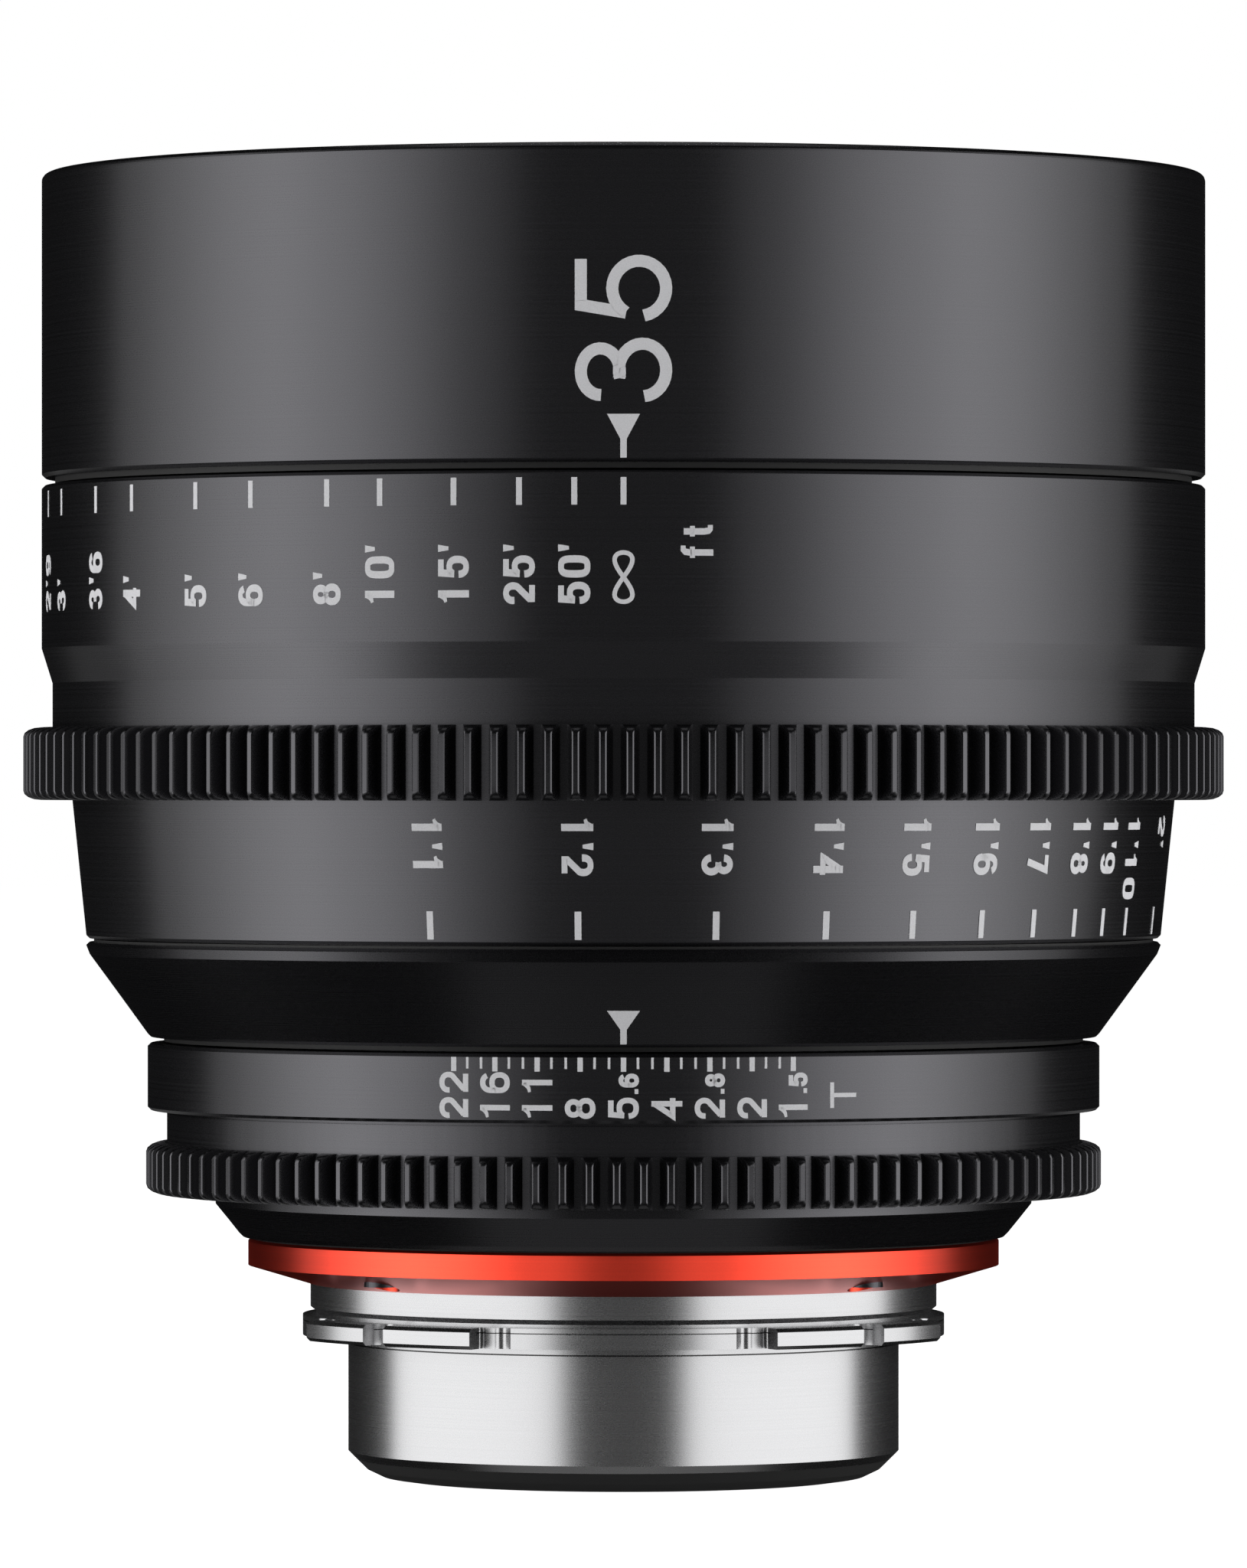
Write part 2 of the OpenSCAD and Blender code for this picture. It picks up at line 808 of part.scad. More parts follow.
module rear_retaining_ring() {
    z1 = zb_r3 + sag(rf_r3, rear_seat_r) - fit_c;
    color(MATT)
        revolve([
            [rear_seat_r, z1],
            [rear_seat_r, z1 - 0.6],
            [rear_seat_r + 1, z_rear_foot],
            [rear_glass_r, z_rear_foot],
            [rear_glass_r, z1]
        ]);
}

module mount_shim() {
    color(BRASS)
        difference() {
            tube(red_r - 0.6, mount_bore + 2, z_red_top, z_rear);
            around(WINGS, wing_angle)
                translate([mount_screw_pcr, 0, 0])
                    rod(mount_screw_r + fit_c, z_red_top - 1, z_rear + 1);
        }
}

// Red ring: takes the steel mount in its rear recess and screws to the rear barrel
collar_seat = 1.6;
z_collar_top = z_red + collar_seat;
z_flange_head = z_red_top - screw_head_h - fit_c;
flange_thread = 2.4;

module red_mount_ring() {
    color(RED)
        difference() {
            revolve([
                [mount_bore + fit_c, z_collar_top],
                [collar_r + fit_c, z_collar_top],
                [collar_r + fit_c, z_red],
                [red_r, z_red_band],
                [red_r, z_red_top - 0.25],
                [red_r - 0.25, z_red_top],
                [mount_bore + fit_c, z_red_top]
            ]);
            around(WINGS, wing_angle)
                translate([mount_screw_pcr, 0, 0]) {
                    rod(mount_screw_r + fit_c, z_red - 1, z_red_top + 1);
                    rod(mount_head_r + fit_c, z_red - 1, z_collar_top);
                }
            around(WINGS)
                translate([flange_screw_pcr, 0, 0]) {
                    rod(screw_r + fit_c, z_red, z_red_top + 1);
                    rod(screw_head_r + fit_c, z_flange_head, z_red_top + 1);
                }
        }
}

module mount_screws() {
    color(DARK_STEEL)
        around(WINGS, wing_angle)
            translate([mount_screw_pcr, 0, z_collar_top])
                rotate([180, 0, 0])
                    screw(mount_screw_r, z_rear - z_collar_top + mount_thread, mount_head_r, mount_head_h);
}

module flange_screws() {
    color(STEEL)
        around(WINGS)
            translate([flange_screw_pcr, 0, z_flange_head])
                screw(screw_r, z_flange_head - z_collar_top + flange_thread, screw_head_r, screw_head_h);
}

// Outline of one wing as a sector
module wing_sector() {
    half = wing_span / 2;
    polygon([
        [0, 0],
        for (a = [-1:0.5:1])
            1.3 * wing_r * [cos(a * half), sin(a * half)]
    ]);
}

// Steel mount: spigot, seat flange with four notched wings, neck and collar
module lens_mount() {
    flute_r = 0.9;
    flute_depth = 0.5;
    flute_angle = 21.5;
    relief_r = 0.45;
    relief_angle = wing_angle - wing_span / 2;
    notch_floor = web_r - 0.4;
    color(STEEL)
        difference() {
            union() {
                revolve([
                    [mount_bore, z_baffle],
                    [spigot_r - spigot_chamfer, z_baffle],
                    [spigot_r, z_spigot],
                    [spigot_r, 0],
                    [web_r - 2, 0],
                    [web_r - 2, z_wing],
                    [collar_r - neck_drop, z_wing],
                    [collar_r - neck_drop, z_neck - neck_drop * 0.8],
                    [collar_r, z_neck],
                    [collar_r, z_collar_top],
                    [mount_bore, z_collar_top]
                ]);
                intersection() {
                    revolve([
                        [0, 0],
                        [wing_r - wing_edge, 0],
                        [wing_r, wing_edge],
                        [wing_r, wing_t - wing_edge],
                        [wing_r - wing_edge, wing_t],
                        [0, wing_t]
                    ]);
                    translate([0, 0, -drill_extra])
                        linear_extrude(wing_t + 2 * drill_extra)
                            difference() {
                                union() {
                                    circle(r = web_r);
                                    around(WINGS, wing_angle)
                                        wing_sector();
                                }
                                circle(r = web_r - 2.5);
                                around(WINGS)
                                    for (s = [-1, 1]) {
                                        rotate(s * flute_angle)
                                            translate([web_r + flute_r - flute_depth, 0])
                                                circle(r = flute_r);
                                        rotate(s * relief_angle)
                                            translate([web_r, 0])
                                                circle(r = relief_r);
                                    }
                                around(WINGS, wing_angle) {
                                    translate([notch_floor + notch_w / 2, 0])
                                        circle(d = notch_w);
                                    translate([notch_floor + notch_w / 2, -notch_w / 2])
                                        square([wing_r, notch_w]);
                                }
                            }
                }
            }
            around(WINGS)
                translate([flange_screw_pcr, 0, 0])
                    rod(screw_r + fit_c, z_collar_top - flange_thread - 0.2, z_collar_top + 1);
        }
}

module rear_baffle() {
    window = rear_glass_r - 2.5;
    rim = 0.6;
    round_start = 30;
    round_step = 20;
    edge_r = spigot_r - spigot_chamfer;
    z_foot = z_baffle - rear_baffle_h;
    color(MATT)
        revolve([
            [window, z_foot + rim],
            [window + rim, z_foot],
            for (a = [90:-round_step:round_start])
                [
                    edge_r - rear_baffle_run * (1 - cos(a) / cos(round_start)),
                    z_baffle - rear_baffle_h * (sin(a) - sin(round_start)) / (1 - sin(round_start))
                ],
            [mount_bore - fit_c, z_baffle],
            [mount_bore - fit_c, z_rear_foot - 0.1],
            [rear_glass_r, z_rear_foot - 0.1],
            [window, z_foot + 1.6]
        ]);
}

// Focus ring, turning on the main barrel
module focus_ring_front() {
    edge = 0.3;
    lip = 2.5;
    hollow = waist_r - focus_shell;
    color(BLACK)
        revolve([
            [focus_bore, z_ffront],
            [waist_r, z_ffront],
            [waist_r, z_ffront + waist_len],
            [front_r, z_ffront + waist_len + taper_len],
            [front_r, z_focus_top - edge],
            [front_r - edge, z_focus_top],
            [focus_bore, z_focus_top],
            [focus_bore, z_focus_top - lip],
            [hollow, z_focus_top - lip],
            [hollow, z_ffront + lip],
            [focus_bore, z_ffront + lip]
        ]);
}

module focus_gear() {
    color(BLACK)
        gear_ring(focus_teeth, focus_bore, z_fgear, focus_gear_w);
}

module focus_ring_rear() {
    edge = 0.3;
    color(BLACK)
        revolve([
            [focus_bore, z_focus],
            [focus_rear_r - edge, z_focus],
            [focus_rear_r, z_focus + edge],
            [focus_rear_r + focus_flare, z_fgear],
            [focus_bore, z_fgear]
        ]);
}

// One helical slot of the cam sleeve, which lifts a roller as the sleeve turns. Its drilled ends are
// a little wider than the slot.
module cam_slot() {
    steps = 24;
    r0 = cam_ri - 1;
    r1 = cam_ro + 1;
    function at(r, k, dz) =
        let (a = -focus_throw * k / steps)
        [r * cos(a), r * sin(a), z_roller + focus_travel * k / steps + dz];
    rings = [for (k = [0:steps])
        [at(r0, k, -slot_r), at(r1, k, -slot_r), at(r1, k, slot_r), at(r0, k, slot_r)]];
    points = [for (ring = rings) for (p = ring) p];
    walls = [for (k = [0:steps - 1]) for (s = [0:3])
        let (a = 4 * k + s, b = 4 * k + (s + 1) % 4)
        [a, a + 4, b + 4, b]];
    ends = [[0, 1, 2, 3], [for (s = [3:-1:0]) 4 * steps + s]];
    triangles = [for (q = concat(walls, ends)) for (t = [[0, 1, 2], [0, 2, 3]])
        [for (i = t) q[i]]];
    polyhedron(points, triangles);
    for (k = [0, steps])
        translate([0, 0, z_roller + focus_travel * k / steps])
            rotate([0, 0, -focus_throw * k / steps])
                translate([r0, 0, 0])
                    rotate([0, 90, 0])
                        cylinder(r = slot_r + slot_runout, h = r1 - r0);
}

module cam_sleeve() {
    color(DARK_STEEL)
        difference() {
            tube(cam_ro, cam_ri, z_focus, z_focus_top);
            around(ROLLERS, roller_angle)
                cam_slot();
        }
}

// Focusing group, sliding in the main barrel on three rollers
rf_f1 = 90;
rb_f1 = 86;
rb_f2 = 150;
focus_rim = 4;
focus_clear = focus_glass_r - focus_rim;
focus_seat_r = focus_glass_r - 2.5;
focus_head = 9.6;
focus_thick_t = 10;
focus_thin_t = 3;
focus_air = 1.5;
focus_last_t = 7.5;
focus_lip_t = 1.6;
focus_ring_drop = 1;
sleeve_below = 9;
sleeve_above = 8;
sleeve_wall = 3;
focus_tube_wall = 3.5;
zf_f1 = z_roller + focus_head;
zb_f1 = zf_f1 - focus_thick_t;
zf_f2 = zb_f1 - cement_t;
zb_f2 = zf_f2 - focus_thin_t;
rf_f3 = 70;
z_f2_flat = zb_f2 - sag(rb_f2, focus_clear);
zf_f3 = zb_f2 - focus_air;
z_f3_flat = zf_f3 - focus_last_t;
z_focus_foot = z_f3_flat - focus_lip_t;
z_focus_head = zf_f1 - focus_ring_drop;

module focus_cell() {
    bore = focus_glass_r + fit_c;
    tube_r = focus_glass_r + focus_tube_wall;
    sleeve_ri = focus_cell_r - sleeve_wall;
    half_web = web_t / 2;
    color(BLACK)
        difference() {
            revolve([
                [focus_seat_r, z_focus_foot],
                [tube_r, z_focus_foot],
                [tube_r, z_roller - half_web],
                [sleeve_ri, z_roller - half_web],
                [sleeve_ri, z_roller - sleeve_below],
                [focus_cell_r, z_roller - sleeve_below],
                [focus_cell_r, z_roller + sleeve_above],
                [sleeve_ri, z_roller + sleeve_above],
                [sleeve_ri, z_roller + half_web],
                [tube_r, z_roller + half_web],
                [tube_r, z_focus_head],
                [bore, z_focus_head],
                [bore, z_f3_flat],
                [focus_seat_r, z_f3_flat]
            ]);
            around(ROLLERS, roller_angle)
                translate([focus_cell_r - roller_shank - drill_extra, 0, z_roller])
                    rotate([0, 90, 0])
                        cylinder(r = screw_r + fit_c, h = roller_shank + 1);
        }
}

module cam_rollers() {
    color(BRASS)
        around(ROLLERS, roller_angle)
            translate([focus_cell_r + fit_c, 0, z_roller])
                rotate([0, 90, 0])
                    difference() {
                        union() {
                            cylinder(r = roller_r, h = cam_ro - focus_cell_r - 0.3);
                            translate([0, 0, -roller_shank])
                                cylinder(r = screw_r, h = roller_shank + 0.1);
                        }
                        translate([0, 0, cam_ro - focus_cell_r - 1])
                            cylinder(r = roller_r * 0.45, h = 1, $fn = 6);
                    }
}

module focus_element_1() {
    lens(focus_glass_r, zf_f1, rf_f1, zb_f1, rb_f1);
}

module focus_element_2() {
    lens(focus_glass_r, zf_f2, -rb_f1, zb_f2, -rb_f2, focus_glass_r, focus_clear);
}

module focus_element_3() {
    lens(focus_glass_r, zf_f3, rf_f3, z_f3_flat, 0);
}

module focus_spacer() {
    inner = focus_glass_r - 2;
    z0 = zf_f3 - sag(rf_f3, inner) + fit_c;
    color(MATT)
        tube(focus_glass_r, inner, z0, z_f2_flat);
}

module focus_retaining_ring() {
    z0 = zf_f1 - sag(rf_f1, focus_seat_r) + fit_c;
    color(MATT)
        tube(focus_glass_r, focus_seat_r, z0, z_focus_head);
}

// Iris ring, turning on the rear barrel
drive_pin_seat = 1.5;
centring_w = 2.4;
centring_h = 2;

module iris_ring() {
    edge = 0.3;
    color(BLACK)
        difference() {
            revolve([
                [iris_bore + centring_w + fit_c, z_iscale],
                [iris_r - edge, z_iscale],
                [iris_r, z_iscale + edge],
                [iris_r, z_iris_top - edge],
                [iris_r - edge, z_iris_top],
                [iris_bore, z_iris_top],
                [iris_bore, z_iscale + centring_h + fit_c],
                [iris_bore + centring_w + fit_c, z_iscale + centring_h + fit_c]
            ]);
            rotate([0, 0, drive_angle])
                translate([0, 0, z_drive_pin])
                    rotate([0, 90, 0])
                        cylinder(r = drive_pin_r + fit_c, h = iris_r - drive_pin_inset + fit_c);
        }
}

module iris_gear() {
    groove = 0.35;
    color(BLACK)
        union() {
            gear_ring(iris_teeth, iris_bore, z_igear, iris_gear_w);
            revolve([
                [iris_bore, z_istep],
                [iris_step_r, z_istep],
                [iris_step_r, z_iscale - groove],
                [iris_step_r - groove, z_iscale - groove],
                [iris_step_r - groove, z_iscale],
                [iris_bore + centring_w, z_iscale],
                [iris_bore + centring_w, z_iscale + centring_h],
                [iris_bore, z_iscale + centring_h]
            ]);
        }
}

module iris_drive_pin() {
    color(STEEL)
        rotate([0, 0, drive_angle])
            translate([rim_ri + drive_pin_seat, 0, z_drive_pin])
                rotate([0, 90, 0])
                    cylinder(r = drive_pin_r, h = iris_r - drive_pin_inset - rim_ri - drive_pin_seat);
}

// Drive pin of a blade at a turn of the iris ring from rest, in the barrel's frame
function drive_point(turn) =
    [pivot_r + blade_arm * sin(turn * blade_ratio), -blade_arm * cos(turn * blade_ratio)];

// The same point seen from the turning drive ring
function slot_point(turn) =
    let (p = drive_point(turn))
    [p[0] * cos(turn) + p[1] * sin(turn), p[1] * cos(turn) - p[0] * sin(turn)];

// Outline of the slot that a blade's drive pin follows as the drive ring turns
function slot_outline(half_w) =
    let (
        steps = 12,
        reach = iris_throw / 2 + sweep_spare,
        turns = [for (k = [0:steps]) reach * (2 * k / steps - 1)],
        side = function(t, s)
            let (
                d = slot_point(t + 0.5) - slot_point(t - 0.5),
                n = [-d[1], d[0]] / norm(d)
            )
            slot_point(t) + s * half_w * n,
        cap = function(t, s)
            let (
                d = slot_point(t + 0.5) - slot_point(t - 0.5),
                heading = atan2(d[1], d[0])
            )
            [for (a = [-60:30:60])
                slot_point(t) + half_w * [cos(heading + a + s), sin(heading + a + s)]]
    )
    concat(
        [for (t = turns) side(t, -1)],
        cap(reach, 0),
        [for (k = [steps:-1:0]) side(turns[k], 1)],
        cap(-reach, 180)
    );

module iris_drive_ring() {
    color(DARK_STEEL)
        difference() {
            revolve([
                [blade_ro - drive_lap, z_drive],
                [drive_ro, z_drive],
                [drive_ro, z_drive_rim],
                [rim_ri, z_drive_rim],
                [rim_ri, z_drive + drive_t],
                [blade_ro - drive_lap, z_drive + drive_t]
            ]);
            around(BLADES)
                translate([0, 0, z_drive - 1])
                    linear_extrude(drive_t + 2)
                        polygon(slot_outline(pin_r + slot_c));
            rotate([0, 0, drive_angle])
                translate([rim_ri + drive_pin_seat - drill_extra, 0, z_drive_pin])
                    rotate([0, 90, 0])
                        cylinder(r = drive_pin_r + fit_c, h = rim_w);
        }
}

// Crescent of a blade in the open position, with its pivot on +X
module blade_outline() {
    arc = blade_span - blade_root;
    difference() {
        intersection() {
            circle(r = blade_ro);
            polygon([
                [0, 0],
                for (a = [blade_root:arc / 4:blade_span + 0.01])
                    2 * blade_ro * [cos(a), sin(a)]
            ]);
        }
        circle(r = blade_ri);
    }
    translate([pivot_r, 0])
        circle(r = pad_r);
    translate([blade_ro - 2, -pad_r])
        square([pivot_r - blade_ro + 2, 2 * pad_r]);
}

// Ear that carries the drive pin, as it lies at rest with the pivot at the origin
module blade_ear() {
    translate([0, -blade_arm])
        circle(r = ear_r);
    translate([-ear_r, -blade_arm])
        square([2 * ear_r, blade_arm]);
}

// Blade of the given layer at rest, halfway through its swing
module iris_blade(layer) {
    z0 = z_blade + layer * blade_pitch;
    color(DARK_STEEL)
        rotate([0, 0, layer * 360 / BLADES])
            translate([pivot_r, 0, 0]) {
                translate([0, 0, z0])
                    linear_extrude(blade_t) {
                        rotate(blade_swing / 2)
                            translate([-pivot_r, 0])
                                blade_outline();
                        blade_ear();
                    }
                rod(pin_r, z_base + 0.4, z0 + blade_t / 2);
                translate([0, -blade_arm, 0])
                    rod(pin_r, z0 + blade_t / 2, z_drive + drive_t - pin_float);
            }
}

module iris_blade_01() { iris_blade(0); }
module iris_blade_02() { iris_blade(1); }
module iris_blade_03() { iris_blade(2); }
module iris_blade_04() { iris_blade(3); }
module iris_blade_05() { iris_blade(4); }
module iris_blade_06() { iris_blade(5); }
module iris_blade_07() { iris_blade(6); }
module iris_blade_08() { iris_blade(7); }
module iris_blade_09() { iris_blade(8); }
module iris_blade_10() { iris_blade(9); }
module iris_blade_11() { iris_blade(10); }

front_barrel();
front_baffle();
front_retaining_ring();
front_cell();
front_element();
second_element();
third_element();
front_spacer();
front_barrel_screws();
front_washer();
main_barrel();
index_cone();
barrel_screws();
rear_washer();
iris_washer();
rear_barrel();
iris_base_plate();
iris_retaining_ring();
iris_screws();
rear_cell();
rear_element_1();
rear_element_2();
rear_element_3();
rear_spacer();
rear_retaining_ring();
mount_shim();
red_mount_ring();
mount_screws();
flange_screws();
lens_mount();
rear_baffle();
focus_ring_front();
focus_gear();
focus_ring_rear();
cam_sleeve();
focus_cell();
cam_rollers();
focus_element_1();
focus_element_2();
focus_element_3();
focus_spacer();
focus_retaining_ring();
iris_ring();
iris_gear();
iris_drive_pin();
iris_drive_ring();
iris_blade_01();
iris_blade_02();
iris_blade_03();
iris_blade_04();
iris_blade_05();
iris_blade_06();
iris_blade_07();
iris_blade_08();
iris_blade_09();
iris_blade_10();
iris_blade_11();
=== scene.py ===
"""Cinema prime lens: finishes, painted scales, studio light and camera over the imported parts."""

import logging
import math
from collections.abc import Iterable, Sequence
from dataclasses import dataclass, field
from enum import Enum
from typing import ClassVar

import bmesh
import bpy
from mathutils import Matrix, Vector


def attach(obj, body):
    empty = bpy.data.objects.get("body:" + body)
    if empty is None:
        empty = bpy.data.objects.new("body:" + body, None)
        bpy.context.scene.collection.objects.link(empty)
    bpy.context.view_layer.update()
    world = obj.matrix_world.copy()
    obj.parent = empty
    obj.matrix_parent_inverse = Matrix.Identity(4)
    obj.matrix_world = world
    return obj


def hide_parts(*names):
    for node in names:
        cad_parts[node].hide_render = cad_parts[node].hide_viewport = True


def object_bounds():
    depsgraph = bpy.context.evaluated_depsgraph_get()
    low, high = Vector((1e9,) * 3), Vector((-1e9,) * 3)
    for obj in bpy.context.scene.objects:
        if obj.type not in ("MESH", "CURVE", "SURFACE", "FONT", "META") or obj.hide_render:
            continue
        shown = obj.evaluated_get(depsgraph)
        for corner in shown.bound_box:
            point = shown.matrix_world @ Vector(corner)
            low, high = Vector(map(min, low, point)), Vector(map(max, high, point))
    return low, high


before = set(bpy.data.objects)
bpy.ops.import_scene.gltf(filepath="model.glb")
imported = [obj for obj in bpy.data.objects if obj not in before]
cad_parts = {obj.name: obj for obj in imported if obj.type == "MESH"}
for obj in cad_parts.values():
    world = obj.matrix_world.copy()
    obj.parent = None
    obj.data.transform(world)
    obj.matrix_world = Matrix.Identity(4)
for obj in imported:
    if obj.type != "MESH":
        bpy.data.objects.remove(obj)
CAD_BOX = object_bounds()

LOG = logging.getLogger("prime_lens")
MM = 0.001
Colour = tuple[float, float, float]
Point = tuple[float, float]
Span = tuple[float, float]
Triple = tuple[float, float, float]


class Body(Enum):
    """Bodies that carry marks."""

    BARREL = "barrel"
    FOCUS = "focus_ring"
    IRIS = "iris_ring"


class Reading(Enum):
    """Way a label runs along the barrel, with the sign of its run and of its letters' tops."""

    UPWARD = (1.0, -1.0)
    DOWNWARD = (-1.0, 1.0)


class Reach(Enum):
    """Whether a light reaches only some nodes, or all but these."""

    INCLUDE = "INCLUDE"
    EXCLUDE = "EXCLUDE"


class ShaderTree:
    """One material and the nodes that feed its surface shader."""

    NOISE: Span = (0.3, 0.7)

    def __init__(self, material: bpy.types.Material) -> None:
        """Opens a material with its shader and object coordinates.

        Args:
            material: Material with a surface shader.
        """
        self.material = material
        self.nodes = material.node_tree.nodes
        self.links = material.node_tree.links
        self.surface = self.nodes["Principled BSDF"]
        self.place = self.nodes.new("ShaderNodeTexCoord").outputs["Object"]

    @classmethod
    def new(cls, name: str) -> "ShaderTree":
        """Makes a material.

        Args:
            name: Name of the material.

        Returns:
            The tree of that material.
        """
        material = bpy.data.materials.new(name)
        material.use_nodes = True
        return cls(material)

    def fix(self, values: dict[str, object]) -> None:
        """Sets constants on the shader's own sockets.

        Args:
            values: Socket names and their values.
        """
        for name, value in values.items():
            self.surface.inputs[name].default_value = value

    def height(self) -> bpy.types.NodeSocket:
        """Reads the height along the optical axis.

        Returns:
            Socket with the height.
        """
        split = self.nodes.new("ShaderNodeSeparateXYZ")
        self.links.new(self.place, split.inputs[0])
        return split.outputs["Z"]

    def radius(self, share: float = 1.0) -> bpy.types.NodeSocket:
        """Reads the distance from the optical axis.

        Args:
            share: Share of the distance to give.

        Returns:
            Socket with that share of the distance.
        """
        flat, length = (self.nodes.new("ShaderNodeVectorMath") for _ in range(2))
        flat.operation, length.operation = "MULTIPLY", "LENGTH"
        flat.inputs[1].default_value = (share, share, 0.0)
        self.links.new(self.place, flat.inputs[0])
        self.links.new(flat.outputs["Vector"], length.inputs[0])
        return length.outputs["Value"]

    def work(self, operation: str, *values: bpy.types.NodeSocket | float) -> bpy.types.NodeSocket:
        """Works out one value from others.

        Args:
            operation: Name of the operation.
            values: Its operands, as sockets or as numbers.

        Returns:
            Socket with the result.
        """
        node = self.nodes.new("ShaderNodeMath")
        node.operation = operation
        for socket, value in zip(node.inputs, values):
            if isinstance(value, float):
                socket.default_value = value
            else:
                self.links.new(value, socket)
        return node.outputs[0]

    def noise(self, pitch: float, detail: float) -> bpy.types.ShaderNode:
        """Adds a noise.

        Args:
            pitch: Size of its grains in metres.
            detail: Its octaves.

        Returns:
            The node, not yet linked.
        """
        noise = self.nodes.new("ShaderNodeTexNoise")
        noise.inputs["Scale"].default_value = 1.0 / pitch
        noise.inputs["Detail"].default_value = detail
        return noise

    def grain(self, pitch: float, detail: float = 2.0) -> bpy.types.NodeSocket:
        """Noise that varies alike in all directions.

        Args:
            pitch: Size of a grain in metres.
            detail: Octaves of the noise.

        Returns:
            Socket with the noise.
        """
        noise = self.noise(pitch, detail)
        self.links.new(self.place, noise.inputs["Vector"])
        return noise.outputs[0]

    def rings(self, pitch: float, across: float, detail: float = 2.0) -> bpy.types.NodeSocket:
        """Noise along the cutter's feed, so that its lines run round the optical axis.

        Args:
            pitch: Distance between lines in metres.
            across: Share of the radius in the feed, 0 for lines on upright faces alone.
            detail: Octaves of the noise.

        Returns:
            Socket with the noise.
        """
        noise = self.noise(pitch, detail)
        noise.noise_dimensions = "1D"
        self.links.new(self.work("ADD", self.radius(across), self.height()), noise.inputs["W"])
        return noise.outputs[0]

    def blend(
        self, first: bpy.types.NodeSocket, second: bpy.types.NodeSocket, share: float
    ) -> bpy.types.NodeSocket:
        """Weighs two values.

        Args:
            first: Value with the rest of the weight.
            second: Value with the given weight.
            share: Weight of the second value, from 0 to 1.

        Returns:
            Socket with the weighed value.
        """
        mix = self.nodes.new("ShaderNodeMix")
        mix.inputs["Factor"].default_value = share
        self.links.new(first, mix.inputs["A"])
        self.links.new(second, mix.inputs["B"])
        return mix.outputs["Result"]

    def span(self, value: bpy.types.NodeSocket, low: float, high: float, socket: str) -> None:
        """Drives one shader socket between two limits.

        Args:
            value: Noise value.
            low: Value of the socket at low noise.
            high: Value of the socket at high noise.
            socket: Name of the shader's socket.
        """
        reach = self.nodes.new("ShaderNodeMapRange")
        limits = zip(("From Min", "From Max", "To Min", "To Max"), (*self.NOISE, low, high))
        for name, limit in limits:
            reach.inputs[name].default_value = limit
        self.links.new(value, reach.inputs["Value"])
        self.links.new(reach.outputs["Result"], self.surface.inputs[socket])

    def tint(self, value: bpy.types.NodeSocket, dark: Colour, light: Colour) -> None:
        """Drives the base colour between two tones.

        Args:
            value: Noise value.
            dark: Tone at low noise.
            light: Tone at high noise.
        """
        ramp = self.nodes.new("ShaderNodeValToRGB")
        for stop, position, tone in zip(ramp.color_ramp.elements, self.NOISE, (dark, light)):
            stop.position, stop.color = position, (*tone, 1.0)
        self.links.new(value, ramp.inputs["Fac"])
        self.links.new(ramp.outputs["Color"], self.surface.inputs["Base Color"])

    def line(self, height: float, half: float, reach: float, tone: Colour) -> None:
        """Paints shade into the base colour along a thin line where a fine turned groove would lie; no
        groove is cut, and the dark line is painted shade.

        Args:
            height: Height of the painted shade line along the axis, in metres.
            half: Half of its width.
            reach: Largest radius that gets the painted shade.
            tone: Colour of the painted shade.
        """
        level = self.work("COMPARE", self.height(), height, half)
        inside = self.work("LESS_THAN", self.radius(), reach)
        mix = self.nodes.new("ShaderNodeMixRGB")
        mix.inputs["Color2"].default_value = (*tone, 1.0)
        self.links.new(self.work("MULTIPLY", level, inside), mix.inputs["Fac"])
        colour = self.surface.inputs["Base Color"]
        self.links.new(colour.links[0].from_socket, mix.inputs["Color1"])
        self.links.new(mix.outputs["Color"], colour)

    def relief(self, value: bpy.types.NodeSocket, depth: float) -> None:
        """Raises the surface by a bump.

        Args:
            value: Height as noise.
            depth: Height of the relief in metres.
        """
        bump = self.nodes.new("ShaderNodeBump")
        bump.inputs["Strength"].default_value = 1.0
        bump.inputs["Distance"].default_value = depth
        self.links.new(value, bump.inputs["Height"])
        self.links.new(bump.outputs["Normal"], self.surface.inputs["Normal"])


@dataclass(frozen=True)
class TurnedFinish:
    """Lathe-turned surface, bare, blackened or anodised, with fine rings and a blasted grain."""

    name: str
    dark: Colour
    light: Colour
    roughness: float
    roughness_spread: float
    metallic: float = 0.0
    specular: float = 0.5
    ior: float = 1.5
    sheen: Colour = (1.0, 1.0, 1.0)
    coat: float = 0.0
    coat_roughness: float = 0.3
    across: float = 1.0
    ring_pitch: float = 0.22 * MM
    grain_pitch: float = 0.12 * MM
    grain_share: float = 0.5
    depth: float = 0.003 * MM

    def material(self) -> bpy.types.Material:
        """Makes the material.

        Returns:
            The new material.
        """
        shader = ShaderTree.new(self.name)
        shader.fix(
            {
                "Metallic": self.metallic,
                "Specular IOR Level": self.specular,
                "Specular Tint": (*self.sheen, 1.0),
                "IOR": self.ior,
                "Coat Weight": self.coat,
                "Coat Roughness": self.coat_roughness,
            }
        )
        rings, grain = shader.rings(self.ring_pitch, self.across), shader.grain(self.grain_pitch)
        relief = shader.blend(rings, grain, self.grain_share)
        shader.tint(relief, self.dark, self.light)
        low, high = self.roughness - self.roughness_spread, self.roughness + self.roughness_spread
        shader.span(relief, low, high, "Roughness")
        shader.relief(relief, self.depth)
        return shader.material


